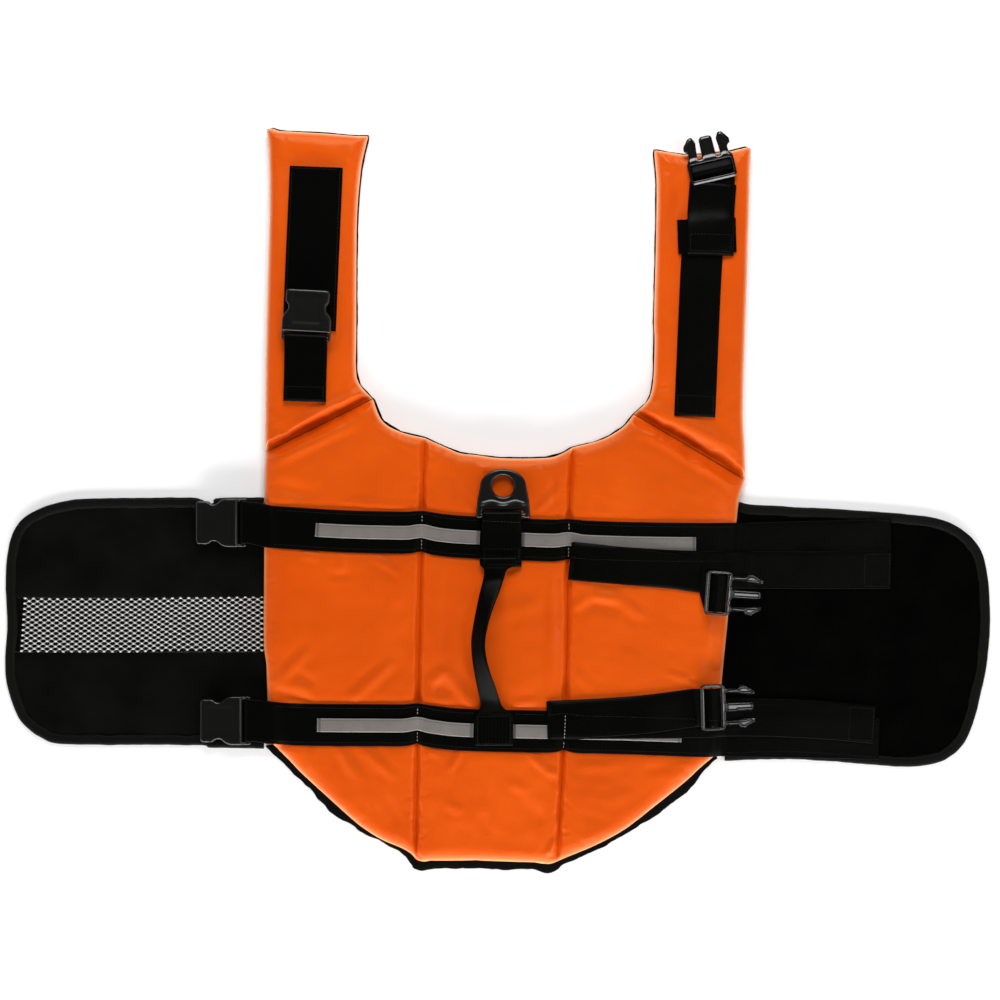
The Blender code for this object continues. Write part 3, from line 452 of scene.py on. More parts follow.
def distance_inside(points, outline):
    """Distance in from a closed outline; negative outside it."""
    nearest = np.full(len(points), np.inf)
    crossings = np.zeros(len(points), int)
    x, y = points[:, 0], points[:, 1]
    for a, b in zip(outline, np.roll(outline, -1, axis=0)):
        run = b - a
        share = ((points - a) @ run) / max(run @ run, 1e-9)
        gap = points - a - np.clip(share, 0.0, 1.0)[:, None] * run
        nearest = np.minimum(nearest, np.hypot(gap[:, 0], gap[:, 1]))
        spans = (a[1] > y) != (b[1] > y)
        if spans.any():
            at = a[0] + (y - a[1]) * run[0] / (run[1] if run[1] else 1e-9)
            crossings += spans & (x < at)
    return np.where(crossings % 2 == 1, nearest, -nearest)


outline = evenly_round(lining_outline(), 3.0)
tail = np.clip((-225.0 - outline[:, 1]) / 30.0, 0.0, 1.0)
span = lengths_along(outline)
frayed = ripples(span, 0.0, 31.0, 4) * 0.35 + ripples(span, 0.0, 9.0, 5) * 0.25
lumps = np.clip(ripples(span, 0.0, 46.0, 6) - 0.7, 0.0, 1.0) * 2.2
outline = sideways(outline, frayed * (0.45 + 0.9 * tail) + lumps * 0.4 * tail, closed=True)
lining = cloth_plate("lining_panel", outline, LINING_THICK, black_cloth, spacing=12.0)
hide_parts("lining")

# ------------------------------------------------------------------------- wings
# Two wings of doubled black cloth that wrap the belly. Each has a folded tape sewn
# round its edge, and the left one has a strip of silver net let into its middle.
WING_THICK = 2.2
BINDING_WIDTH = 9.0
BINDING_THICK = 3.4
NET_TOP = -88.0
NET_BOTTOM = -136.5
LEFT_WING = ((-200.0, 3.2), (-211.0, 3.2), (-252.0, 2.6), (-256.5, -1.6), (-261.0, -2.6),
             (-268.0, 1.4), (-284.0, 3.2), (-368.0, 2.2), (-392.0, -0.2), (-415.0, -7.4),
             (-432.0, -19.0), (-441.0, -38.0), (-444.6, -70.0), (-443.2, -110.0),
             (-445.0, -148.0), (-442.0, -172.0), (-431.4, -198.0), (-412.0, -214.4),
             (-386.0, -220.2), (-276.0, -220.8), (-261.0, -223.4), (-247.0, -223.4),
             (-211.0, -224.0), (-200.0, -223.6))
RIGHT_WING = ((206.0, 0.5), (219.2, -0.9), (237.0, -3.6), (309.0, -7.4), (363.0, -11.2),
              (399.0, -16.0), (419.6, -25.0), (436.4, -41.6), (443.4, -66.0),
              (446.0, -100.0), (444.8, -134.0), (440.4, -161.0), (434.4, -188.0),
              (424.4, -216.0), (410.4, -231.0), (391.0, -238.8), (363.0, -240.2),
              (309.0, -236.2), (272.0, -233.8), (240.0, -233.8), (215.0, -235.0),
              (205.0, -235.0))


def beside_body(points):
    """Which points of a wing's edge are clear of the foam and the lining's border."""
    x, y = points[:, 0], points[:, 1]
    return np.where(x < 0.0, x < -210.7, x > np.where(y > -100.0, 219.1, 205.2))


def between(outline, low, high):
    """The part of an outline between two level lines."""
    for limit, side in ((low, 1.0), (high, -1.0)):
        kept = []
        for a, b in zip(outline, np.roll(outline, -1, axis=0)):
            inside_a = (a[1] - limit) * side >= 0.0
            inside_b = (b[1] - limit) * side >= 0.0
            if inside_a:
                kept.append(a)
            if inside_a != inside_b:
                kept.append(a + (b - a) * (limit - a[1]) / (b[1] - a[1]))
        outline = np.array(kept)
    return outline


def wing_outline(edge, side, tuck):
    """A wing's cloth inside its binding, with its root tucked under the foam."""
    inset = sideways(edge, -(BINDING_WIDTH - 3.0))
    cloth = inset[beside_body(inset)]
    low, high = sorted((cloth[0][1], cloth[-1][1]))
    root = side[(side[:, 1] > low) & (side[:, 1] < high)] + (tuck, 0.0)
    return evenly_round(np.vstack((cloth, root)), 3.0)


def slack(seed, height):
    """Unevenness of cloth that lies loose on the table."""
    return lambda x, y: height * (ripples(x, y * 1.6, 95.0, seed)
                                  + ripples(x, y, 40.0, seed + 1) * 0.35)


left_edge = smooth(LEFT_WING)
right_edge = smooth(RIGHT_WING)[::-1]
left_cloth = wing_outline(left_edge, smooth(LEFT_SIDE)[::-1], WING_TUCK)
right_cloth = wing_outline(right_edge, smooth(RIGHT_SIDE), -WING_TUCK)
for name, node, low, high in (
        ("wing_left_upper_cloth", "wing_cloth_left_upper", NET_TOP + GAP, 50.0),
        ("wing_left_lower_cloth", "wing_cloth_left_lower", -300.0, NET_BOTTOM - GAP)):
    cut = evenly_round(between(left_cloth, low, high), 3.0)
    wing = cloth_plate(name, cut, WING_THICK, black_cloth, swell=slack(11, 0.35))
    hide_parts(node)
    size = np.ptp(cut, axis=0) * MM
fine_mesh_cloth = mesh_cloth("fine_mesh", (0.0002, 0.0002, 0.0002), (0.0021, 0.0021, 0.0018),
                            5.2, 0.12, 0.005)
wing = cloth_plate("wing_right_cloth", right_cloth, WING_THICK, fine_mesh_cloth,
                   swell=slack(13, 0.45))
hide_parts("wing_cloth_right")
size = np.ptp(right_cloth, axis=0) * MM

tape_cloth = Skin("binding_tape", {"Roughness": 0.5, "Specular IOR Level": 0.06})
where, (x, y, z) = tape_cloth.place("thread")
ribs = (x * (math.pi / 0.9)).math("SINE").math("ABSOLUTE")
tape_cloth.set("Base Color", tape_cloth.shade((0.0012, 0.0012, 0.001), (0.0045, 0.0045, 0.0038),
                                              ribs))
tape_cloth.relief(ribs * 0.05 + tape_cloth.mottle(where, 2.5) * 0.06)


def tube_faces(rows, around):
    """Faces of a closed tube made of rings of points, with both its ends."""
    faces = [(s * around + k, s * around + (k + 1) % around,
              (s + 1) * around + (k + 1) % around, (s + 1) * around + k)
             for s in range(rows - 1) for k in range(around)]
    return faces + [tuple(range(around))[::-1],
                    tuple((rows - 1) * around + k for k in range(around))]


BINDING_PROFILE = ((0.03, 0.0), (0.0, 0.25), (0.02, 0.55), (0.1, 0.85), (0.25, 1.0),
                   (0.5, 1.0), (0.72, 0.94), (0.86, 0.76), (0.94, 0.72), (1.0, 0.66),
                   (1.02, 0.5), (1.0, 0.0))


def binding(name, edge, seed):
    """Folded tape round a wing's free edge, drawn in a little at its stitches."""
    edge = evenly(edge, 2.2)
    run = lengths_along(edge)
    wave = ripples(run, 0.0, 37.0, seed) * 0.25 + ripples(run, 0.0, 11.0, seed + 1) * 0.15
    pull = 0.08 * np.cos(run * 2.0 * math.pi / 3.2)
    rings = []
    for share, level in BINDING_PROFILE:
        place = sideways(edge, -share * BINDING_WIDTH - wave * (0.6 + share))
        height = level * BINDING_THICK * (1.0 + 0.06 * wave) + pull * (0.7 < share < 0.97)
        rings.append(np.column_stack((place, height)))
    points = np.stack(rings, axis=1)
    count, around = points.shape[:2]
    thread = np.zeros_like(points)
    thread[..., 0] = run[:, None]
    thread[..., 1] = [share * BINDING_WIDTH for share, _ in BINDING_PROFILE]
    obj = piece(name, points, [face[::-1] for face in tube_faces(count, around)],
                tape_cloth, thread=thread)
    return obj


for name, edge, seed in (("wing_binding_left", left_edge, 21),
                         ("wing_binding_right", right_edge, 24)):
    obj = binding(name + "_tape", edge[beside_body(edge)], seed)
    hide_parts(name)

# The net strip: black cloth behind, and a knitted net of silver-grey yarn on it, with a
# small raised knot wherever two strands meet.
NET_PITCH = (7.5, 4.75)
NET_YARN = 0.6              # half the width of a strand
KNOT = (1.5, 1.0, 0.62)     # half a knot's length, half its width, and its height
net_outline = between(left_cloth, NET_BOTTOM, NET_TOP)
backing_edge = evenly_round(net_outline, 4.0)
backing = cloth_plate("net_strip_backing", backing_edge, 0.7, black_cloth, rim=0.5)
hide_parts("wing_net_strip_left")

silver = Skin("silver_yarn", {"Roughness": 0.45, "Specular IOR Level": 0.5})
where, (x, y, z) = silver.place()
# The yarn's colour follows its height: painted shade on the low strands and a painted highlight on
# the raised knots' tops.
silver.set("Base Color", silver.shade((0.19, 0.184, 0.176), (0.80, 0.785, 0.76),
                                      (z - 1.25) * 1.35 * (silver.mottle(where, 1.6) * 0.7 + 0.6)))
silver.relief((x * 5.0 + y * 3.0).math("SINE") * 0.05)


def pulled(x, y):
    """Where a place in the net lies once its rows have been drawn a little out of line."""
    lean = (y - NET_BOTTOM) / (NET_TOP - NET_BOTTOM)
    from_left = np.clip((edge_right - x) / (edge_right - edge_left), 0.0, 1.0)
    return (x + 3.2 * lean * from_left + ripples(x, y, 60.0, 31) * 0.5,
            y + ripples(x, y, 75.0, 32) * 0.45 - 0.8 * np.sin((x - edge_left) / 42.0))


net_points = []
net_faces = []
half_pitch = NET_PITCH[0] / 2.0
edge_left, edge_right = -430.2, net_outline[:, 0].max() - 1.0
steps = np.arange(edge_left, edge_right, half_pitch / 5.0)
NET_ROWS = int((NET_TOP - NET_BOTTOM - 1.0) / (NET_PITCH[1] / 2.0))
for row in range(NET_ROWS):
    phase = (steps - edge_left) / half_pitch + row
    bow = 0.5 - 0.5 * np.cos(phase * math.pi)
    y = NET_BOTTOM + 1.0 + NET_PITCH[1] / 2.0 * (row + 0.04 + 0.92 * bow)
    across_at, along_at = pulled(steps, y)
    first = len(net_points)
    for k in range(len(steps)):
        for across, level in ((-1.0, 0.7), (-0.7, 0.4), (0.0, 0.0), (0.7, 0.4), (1.0, 0.7)):
            net_points.append((across_at[k], along_at[k] + across * NET_YARN, 1.3 - level * 0.5))
    for k in range(len(steps) - 1):
        a, b = first + k * 5, first + k * 5 + 5
        net_faces += [(a + j, b + j, b + j + 1, a + j + 1) for j in range(4)]
knot_angles = np.linspace(0.0, 2.0 * math.pi, 8, endpoint=False)
for row in range(NET_ROWS + 1):
    for x in np.arange(edge_left + half_pitch * (row % 2), edge_right, NET_PITCH[0]):
        y = NET_BOTTOM + 1.0 + NET_PITCH[1] / 2.0 * row
        spot_x, spot_y = pulled(x, y)
        first = len(net_points)
        for share, level in ((1.0, 0.0), (0.85, 0.55), (0.45, 0.92)):
            net_points += [(spot_x + KNOT[0] * share * math.cos(a),
                            spot_y + KNOT[1] * share * math.sin(a), 1.2 + KNOT[2] * level)
                           for a in knot_angles]
        net_points.append((spot_x, spot_y, 1.2 + KNOT[2]))
        for ring in (first, first + 8):
            net_faces += [(ring + k, ring + (k + 1) % 8, ring + 8 + (k + 1) % 8, ring + 8 + k)
                          for k in range(8)]
        net_faces += [(first + 16 + k, first + 16 + (k + 1) % 8, first + 24) for k in range(8)]
net = piece("net_strip_mesh", net_points, net_faces, silver)

# ----------------------------------------------------------------- padded chambers
# Five chambers of coated orange cloth over foam: three down the back and one in each
# neck arm. They are quilted by the seams between them and sewn down at their edges.
BASE = LINING_THICK + GAP
FOAM_DEPTH = 12.0
CROWN = 1.2
# Height of the cloth at an edge, the way in to full depth, and 1 where stitches draw the
# cloth down in a soft valley, 0 where it rolls over the foam's edge.
SEAM = (7.6, 5.2, 1.0)
FOLD = (2.6, 10.0, 1.0)
ROLLED = (4.2, 13.0, 0.0)
SIDE = (2.5, 20.0, 0.0)
UPPER_BAND = ((356.0, -35.5), (300.0, -36.5), (217.0, -38.5), (130.0, -38.0),
              (65.0, -36.0), (34.0, -35.0), (-33.0, -32.0), (-64.0, -29.0),
              (-97.0, -28.3), (-141.0, -27.0), (-206.0, -23.0))
LOWER_BAND = ((345.0, -214.5), (300.0, -213.5), (217.0, -212.0), (128.0, -208.7),
              (47.0, -207.0), (-33.0, -205.0), (-71.0, -201.5), (-168.0, -200.7),
              (-206.0, -199.0))
BAND_PRESS = 0.9            # how far the sewn bands press into the foam
ROW_EASE = 0.45             # how much closer the rows of points lie beside a chamber's edges
RIM_SHINE_REACH = 4.6                 # within this distance of a rolled edge the coat is glossier and a pale colour is painted on as a highlight

orange_cloth = Skin("orange_oxford", {"Roughness": 0.46, "Specular IOR Level": 0.42,
                                      "Specular Tint": (1.0, 0.55, 0.16, 1.0),
                                      "Coat Roughness": 0.2,
                                      "Coat Tint": (1.0, 0.95, 0.8, 1.0)})
where, (x, y, z) = orange_cloth.place()
threads_x = (x * (math.pi / 0.55)).math("SINE").math("ABSOLUTE")
threads_y = (y * (math.pi / 0.55)).math("SINE").math("ABSOLUTE")
faded = orange_cloth.mottle(where, 70.0, 4.0)
cloth_colour = orange_cloth.shade((0.50, 0.046, 0.0004), (0.70, 0.087, 0.0016), faded)
_, (from_rim, _, _) = orange_cloth.place("thread")
# Toward a rolled edge this falloff thickens the coat and mixes in a pale orange, a painted
# highlight along the rims.
rim_shine = (from_rim * (-1.0 / RIM_SHINE_REACH) + 1.0).math("MAXIMUM", 0.0)
painted_rim_highlight = rim_shine * rim_shine * (orange_cloth.mottle(where, 22.0, 3.0) * 0.7 + 0.35)
# Painted highlight: pale orange mixed into the base colour beside the rolled edges.
orange_cloth.set("Base Color", orange_cloth.node(
    "Mix", {"data_type": "RGBA"}, {0: painted_rim_highlight, 6: cloth_colour, 7: (1.0, 0.50, 0.21, 1.0)},
    out=2))
orange_cloth.set("Coat Weight", rim_shine * rim_shine * 0.75 + 0.04)
orange_cloth.relief(threads_x.math("MAXIMUM", threads_y) * 0.05
                    + orange_cloth.mottle(where, 3.5) * 0.12)


def coons(top, bottom, left, right, u, v):
    """Points between four edges; u runs along the top, v down the left."""
    across = at_shares(top, u)[None] * (1.0 - v)[:, None, None] \
        + at_shares(bottom, u)[None] * v[:, None, None]
    down = at_shares(left, v)[:, None] * (1.0 - u)[None, :, None] \
        + at_shares(right, v)[:, None] * u[None, :, None]
    upper = top[0] * (1.0 - u)[:, None] + top[-1] * u[:, None]
    lower = bottom[0] * (1.0 - u)[:, None] + bottom[-1] * u[:, None]
    corner = upper[None] * (1.0 - v)[:, None, None] + lower[None] * v[:, None, None]
    return across + down - corner


def reach_to(x, y, ax, ay, bx, by):
    """Distance from points to a line between two places, and the share along it."""
    run_x, run_y = bx - ax, by - ay
    share = ((x - ax) * run_x + (y - ay) * run_y) / max(run_x ** 2 + run_y ** 2, 1e-9)
    held = np.clip(share, 0.0, 1.0)
    return np.hypot(x - ax - held * run_x, y - ay - held * run_y), share


def trough(x, y, ax, ay, bx, by, depth, width):
    """A soft crease that fades toward both ends; a ridge where its depth is negative."""
    gap, share = reach_to(x, y, ax, ay, bx, by)
    fade = np.clip(1.0 - np.abs(2.0 * share - 1.0) ** 3, 0.0, 1.0)
    dip = np.exp(-(gap / width) ** 2)
    brim = np.exp(-((gap - 2.0 * width) / (0.9 * width)) ** 2)
    return depth * fade * (0.35 * brim - dip)


def sewn_down(x, y, line, height, reach, drawn):
    """How far the cloth falls short of the foam's full depth beside one edge."""
    nearest = np.min([reach_to(x, y, *a, *b)[0] for a, b in zip(line, line[1:])], axis=0)
    uneven = drawn * (0.14 * ripples(x, y, 34.0, 5) + 0.06 * ripples(x, y, 14.0, 6))
    share = np.clip(nearest / (reach * (1.0 + uneven)), 0.0, 1.0)
    valley = 0.5 - 0.5 * np.cos(math.pi * share)
    roll = np.sqrt(1.0 - (1.0 - share) ** 2)
    return (FOAM_DEPTH - height) * (1.0 + 0.5 * uneven) * (1.0 - (valley if drawn else roll))


def along_band(x, y, line):
    """Distance to the middle of a band."""
    line = np.array(line)[::-1]
    return np.abs(y - np.interp(x, line[:, 0], line[:, 1]))


def puckers(edge, seed, spacing, reach, depth):
    """Short creases that run in from a sewn edge, each of its own size."""
    draw = np.random.default_rng(seed)
    edge = evenly(edge, 1.0)
    run = lengths_along(edge)
    heading = np.gradient(edge, axis=0)
    heading /= np.linalg.norm(heading, axis=1, keepdims=True)
    spot = draw.uniform(0.2, 1.0) * spacing
    creases = []
    while spot < run[-1]:
        k = int(np.searchsorted(run, spot))
        inward = np.array((-heading[k][1], heading[k][0]))
        slant = heading[k] * draw.normal(0.0, 0.35)
        length = reach * draw.uniform(0.35, 1.5)
        end = edge[k] + (inward + slant) * length
        start = edge[k] - (inward + slant) * length * 0.5
        creases.append((*start, *end, depth * draw.uniform(0.3, 1.4),
                        draw.uniform(0.9, 2.4)))
        spot += spacing * draw.gamma(3.0, 1.0 / 3.0)
    return creases


def padded_chamber(name, edges, shift, rims, creases, seed, spacing=1.9):
    """A foam slab in its cloth: rolled edges, swollen middle, creases and puckers."""
    top, bottom, left, right = (as_points(edge) for edge in edges)
    columns = int(max(lengths_along(top)[-1], lengths_along(bottom)[-1]) / spacing)
    rows = int(max(lengths_along(left)[-1], lengths_along(right)[-1]) / spacing)
    u = np.linspace(0.0, 1.0, columns + 1)
    v = np.linspace(0.0, 1.0, rows + 1)
    u = u - ROW_EASE * np.sin(2.0 * math.pi * u) / (2.0 * math.pi)
    v = v - ROW_EASE * np.sin(2.0 * math.pi * v) / (2.0 * math.pi)
    plan = coons(top, bottom, left, right, u, v) + shift
    x, y = plan[..., 0], plan[..., 1]
    short = sum(sewn_down(x, y, as_points(line) + shift, *rim) ** 4
                for line, rim in rims) ** 0.25
    nearest, from_rim = (np.min([reach_to(x, y, *a, *b)[0] for line, rim in rims
                                 for a, b in zip(line, line[1:])
                                 if rim in kinds], axis=0)
                         for kinds in ((SEAM, FOLD, ROLLED, SIDE), (ROLLED, SIDE)))
    swell = CROWN * np.sin(math.pi * u)[None, :] * np.sin(math.pi * v)[:, None]
    level = BASE + FOAM_DEPTH - short + swell
    inner = np.clip(nearest / 10.0, 0.0, 1.0)
    level += inner * (ripples(x, y, 110.0, seed) * 0.45 + ripples(x, y, 42.0, seed + 1) * 0.28
                      + ripples(x, y, 17.0, seed + 2) * 0.10)
    for line in (UPPER_BAND, LOWER_BAND):
        if abs(y - line[5][1]).min() < 60.0:
            near = np.clip((27.0 - along_band(x, y, line)) / 9.0, 0.0, 1.0)
            level -= BAND_PRESS * near * near * (3.0 - 2.0 * near) * inner
    held = np.clip(nearest / 2.5, 0.0, 1.0)
    for crease in creases:
        level += trough(x, y, *crease) * held
    index = np.arange(x.size).reshape(x.shape)
    loop = np.concatenate((index[0], index[1:, -1], index[-1, -2::-1], index[-2:0:-1, 0]))
    count = len(loop)
    surface = np.dstack((plan, level)).reshape(-1, 3)
    mid = surface[loop].copy()
    mid[:, 2] = BASE + (mid[:, 2] - BASE) * 0.55
    foot = surface[loop].copy()
    foot[:, 2] = BASE
    coarse = np.vstack((surface, mid, foot))
    total = len(surface)
    # Distance to the nearest rolled rim; it sets the cloth's glossier coat and its painted rim
    # highlight.
    thread = np.full_like(coarse, RIM_SHINE_REACH * 2.0)
    thread[:total, 0] = from_rim.ravel()
    thread[total:total + count, 0] = RIM_SHINE_REACH * 0.6
    faces = []
    for j in range(rows):
        for i in range(columns):
            faces.append((int(index[j, i]), int(index[j + 1, i]), int(index[j + 1, i + 1]),
                          int(index[j, i + 1])))
    rings = (loop, np.arange(total, total + count), np.arange(total + count, total + 2 * count))
    for upper, lower in zip(rings, rings[1:]):
        for k in range(count):
            after = (k + 1) % count
            faces.append((int(upper[k]), int(upper[after]), int(lower[after]), int(lower[k])))
    faces.append(tuple(int(k) for k in rings[-1]))
    obj = piece(name, coarse, faces, orange_cloth, thread=thread)
    return obj


left_seam, right_seam = smooth(LEFT_SEAM), smooth(RIGHT_SEAM)
# Creases run from one spot to another: x, y, x, y, depth, width. Those with a negative
# depth stand up as ridges.
MIDDLE_CREASES = (
    (-38.0, 24.0, -36.0, 0.0, 0.7, 4.0), (-26.0, 6.0, -17.0, -9.0, 0.9, 3.0),
    (34.0, -10.0, 57.0, 12.0, -1.0, 3.0), (50.0, 28.0, 51.0, -8.0, 0.5, 3.0),
    (-18.0, 31.0, -8.0, 28.0, -1.0, 3.0), (-54.0, -56.0, -54.0, -152.0, -0.6, 4.0),
    (-45.0, -58.0, -44.0, -132.0, 0.4, 3.0), (-61.0, -164.0, -45.0, -150.0, -1.5, 4.0),
    (-47.0, -149.0, -20.0, -188.0, -1.4, 4.0), (-57.0, -167.0, -39.0, -172.0, 1.3, 5.0),
    (7.0, -64.0, 19.0, -58.0, 1.0, 4.0), (2.0, -98.0, 42.0, -92.0, -0.8, 6.0),
    (49.0, -56.0, 49.0, -170.0, -0.7, 4.0), (14.0, -181.0, 38.0, -180.0, -1.1, 3.0),
    (-31.0, -222.0, -43.0, -243.0, -1.3, 2.5), (-62.0, -224.0, -51.0, -227.0, -1.0, 3.0),
    (27.0, -224.0, 44.0, -243.0, -1.2, 3.0), (42.0, -242.0, 57.0, -245.0, -0.9, 3.0),
    (-45.0, -271.0, -31.0, -279.0, -0.8, 4.0), (11.0, -251.0, 28.0, -262.0, -0.8, 4.0),
    (53.0, -302.0, 45.0, -318.0, -1.5, 2.5), (-14.0, -280.0, -9.0, -300.0, 0.6, 4.0),
    (-6.0, -236.0, -6.0, -260.0, -0.5, 2.0), (22.0, -268.0, 42.0, -290.0, 0.5, 6.0))
LEFT_BACK_CREASES = (
    (-208.0, 31.0, -122.0, 72.0, -1.6, 4.0), (-204.0, 16.0, -160.0, 4.0, 1.4, 6.0),
    (-142.0, 0.0, -78.0, -5.0, -0.9, 3.0), (-139.5, -46.0, -139.5, -67.0, -1.1, 3.5),
    (-153.0, -67.0, -130.0, -66.0, 0.9, 3.0), (-114.0, -48.0, -85.0, -66.0, -1.0, 3.0),
    (-177.0, -48.0, -159.0, -51.0, -0.9, 3.0), (-133.0, -180.0, -91.0, -142.0, -1.4, 4.0),
    (-196.0, -161.0, -166.0, -131.0, -1.2, 4.0), (-207.0, -170.0, -164.0, -181.0, 1.7, 5.0),
    (-180.0, -154.0, -163.0, -164.0, 1.0, 4.0), (-144.0, -216.0, -126.0, -250.0, -1.1, 4.0),
    (-121.0, -220.0, -90.0, -250.0, -1.0, 4.0), (-166.0, -221.0, -166.0, -244.0, -0.8, 3.0),
    (-133.0, -219.0, -110.0, -251.0, 0.6, 4.0), (-80.0, -96.0, -96.0, -104.0, 0.5, 5.0),
    (-118.0, 66.0, -74.0, 40.0, 0.5, 3.0), (-101.0, -262.0, -86.0, -292.0, 0.5, 4.0))
RIGHT_BACK_CREASES = (
    (129.0, 64.0, 217.0, 12.0, -1.5, 3.5), (149.0, 64.0, 142.0, 52.0, 1.1, 1.7),
    (157.0, 60.0, 151.0, 50.0, 0.9, 1.6), (68.0, -97.0, 84.0, -84.0, -1.4, 4.0),
    (83.0, -84.0, 112.0, -88.0, -1.6, 4.0), (110.0, -88.0, 132.0, -106.0, -1.2, 4.0),
    (82.0, -92.0, 112.0, -99.0, 1.0, 4.0), (70.0, -152.0, 86.0, -172.0, -0.8, 4.0),
    (149.0, -154.0, 176.0, -161.0, -0.9, 3.0), (172.0, -159.0, 181.0, -165.0, 1.1, 2.0),
    (187.0, -140.0, 197.0, -158.0, 0.9, 5.0), (69.0, -238.0, 117.0, -238.0, -0.6, 4.0),
    (130.0, -242.0, 162.0, -235.0, 0.6, 5.0), (84.0, -20.0, 92.0, 6.0, 0.4, 5.0),
    (196.0, -4.0, 206.0, -18.0, 0.5, 4.0), (92.0, -268.0, 128.0, -262.0, -0.4, 5.0),
    (160.0, -58.0, 178.0, -70.0, 0.8, 4.0))
LEFT_ARM_CREASES = (
    (-182.0, 68.0, -116.0, 101.0, -1.2, 4.0), (-205.0, 66.0, -184.0, 62.0, 0.9, 5.0),
    (-152.0, 134.0, -141.0, 156.0, 0.9, 4.0), (-136.0, 96.0, -126.0, 122.0, -0.7, 3.5),
    (-137.0, 196.0, -138.0, 262.0, 0.5, 4.0), (-198.0, 300.0, -200.0, 190.0, -0.6, 4.0),
    (-134.0, 300.0, -128.0, 318.0, -0.6, 4.0), (-194.0, 322.0, -140.0, 316.0, -0.5, 5.0))
RIGHT_ARM_CREASES = (
    (146.0, 70.0, 220.0, 30.0, 2.6, 5.0), (135.0, 86.0, 216.0, 47.0, -1.1, 5.0),
    (143.0, 106.0, 158.0, 112.0, -0.7, 3.0), (142.0, 95.0, 158.0, 98.0, -0.7, 2.5),
    (143.0, 168.0, 160.0, 160.0, -0.6, 3.0), (148.0, 300.0, 150.0, 190.0, -0.7, 4.0),
    (162.0, 300.0, 161.0, 256.0, 1.0, 5.0), (215.0, 255.0, 214.0, 150.0, 0.5, 4.0),
    (150.0, 306.0, 160.0, 300.0, -0.9, 3.0), (219.0, 306.0, 214.0, 296.0, -0.9, 3.0))
CHAMBERS = (
    ("foam_back_middle", (smooth(NECK_MIDDLE), TAIL_MIDDLE, left_seam, right_seam),
     (0.0, 0.0),
     ((NECK_MIDDLE, ROLLED), (TAIL_MIDDLE, ROLLED), (LEFT_SEAM, SEAM), (RIGHT_SEAM, SEAM)),
     MIDDLE_CREASES),
    ("foam_back_left", ((LEFT_CREASE[0], *smooth(NECK_LEFT)), smooth(TAIL_LEFT),
                        smooth(LEFT_SIDE), left_seam), (-0.03, 0.0),
     ((LEFT_CREASE, FOLD), (NECK_LEFT, ROLLED), (TAIL_LEFT, ROLLED), (LEFT_SIDE, SIDE),
      (LEFT_SEAM, SEAM)), LEFT_BACK_CREASES),
    ("foam_back_right", ((*smooth(NECK_RIGHT), RIGHT_CREASE[1]), smooth(TAIL_RIGHT),
                         right_seam, smooth(RIGHT_SIDE)), (0.03, 0.0),
     ((RIGHT_CREASE, FOLD), (NECK_RIGHT, ROLLED), (TAIL_RIGHT, ROLLED), (RIGHT_SIDE, SIDE),
      (RIGHT_SEAM, SEAM)), RIGHT_BACK_CREASES),
    ("foam_neck_arm_left", (LEFT_ARM_TOP, LEFT_CREASE, smooth(LEFT_ARM_OUTER),
                            smooth(LEFT_ARM_INNER)), (-0.3, 0.35),
     ((LEFT_ARM_TOP, ROLLED), (LEFT_CREASE, FOLD), (LEFT_ARM_OUTER, ROLLED),
      (LEFT_ARM_INNER, ROLLED)), LEFT_ARM_CREASES),
    ("foam_neck_arm_right", (RIGHT_ARM_TOP, RIGHT_CREASE, smooth(RIGHT_ARM_INNER),
                             smooth(RIGHT_ARM_OUTER)), (0.3, 0.35),
     ((RIGHT_ARM_TOP, ROLLED), (RIGHT_CREASE, FOLD), (RIGHT_ARM_INNER, ROLLED),
      (RIGHT_ARM_OUTER, ROLLED)), RIGHT_ARM_CREASES),
)
for number, (node, edges, shift, rims, creases) in enumerate(CHAMBERS):
    lines = [as_points(edge) for edge in edges]
    rims = [(as_points(smooth(line)), rim) for line, rim in rims]
    sewn = list(creases)
    for k, (line, turned) in enumerate(zip(lines, (True, False, False, True))):
        sewn += puckers(line[::-1] if turned else line, 100 + 10 * number + k, 9.0, 10.0, 0.34)
    obj = padded_chamber(node + "_cushion", lines, shift, rims, sewn, 60 + 4 * number)
    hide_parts(node)

# ----------------------------------------------------------- webbing bands and tapes
# Two wide black webbing bands sewn across the back, with reflective tape on them.
# Their left ends turn round the bars of the two buckle sockets.
WEBBING_WIDTH = 38.0
WEBBING_THICK = 1.5
TAPE_WIDTH = 12.2
TAPE_THICK = 1.0
BAR_RADIUS = 2.2
BAR_SLACK = 0.35
LOOP_RADIUS = BAR_RADIUS + BAR_SLACK + WEBBING_THICK / 2
BARS = {"upper": (-228.0, -19.6, 8.1), "lower": (-224.0, -197.6, 8.1)}
LEG_LENGTH = 9.0            # level webbing just before a bar
LEG_START = -186.0          # where a band leaves the back for its bar
UNDER_LEG_END = -212.3      # where it ends after its turn


def woven(name, low, high, rib, depth, roughness, specular):
    """Narrow woven tape: ribs run along it, and its edges are a little closer set."""
    skin = Skin(name, {"Roughness": roughness, "Specular IOR Level": specular})
    where, (along, across, _) = skin.place("thread")
    ribs = (across * (math.pi / rib)).math("SINE").math("ABSOLUTE")
    picks = (along * (math.pi / (rib * 0.8)) + (across * (math.pi / rib)).math("SINE")
             .math("SIGN") * 0.8).math("SINE").math("ABSOLUTE")
    weave = ribs * (picks * 0.6 + 0.4)
    skin.set("Base Color", skin.shade(low, high, weave))
    skin.relief(weave * depth + skin.mottle(where, 3.0) * 0.05)
    return skin


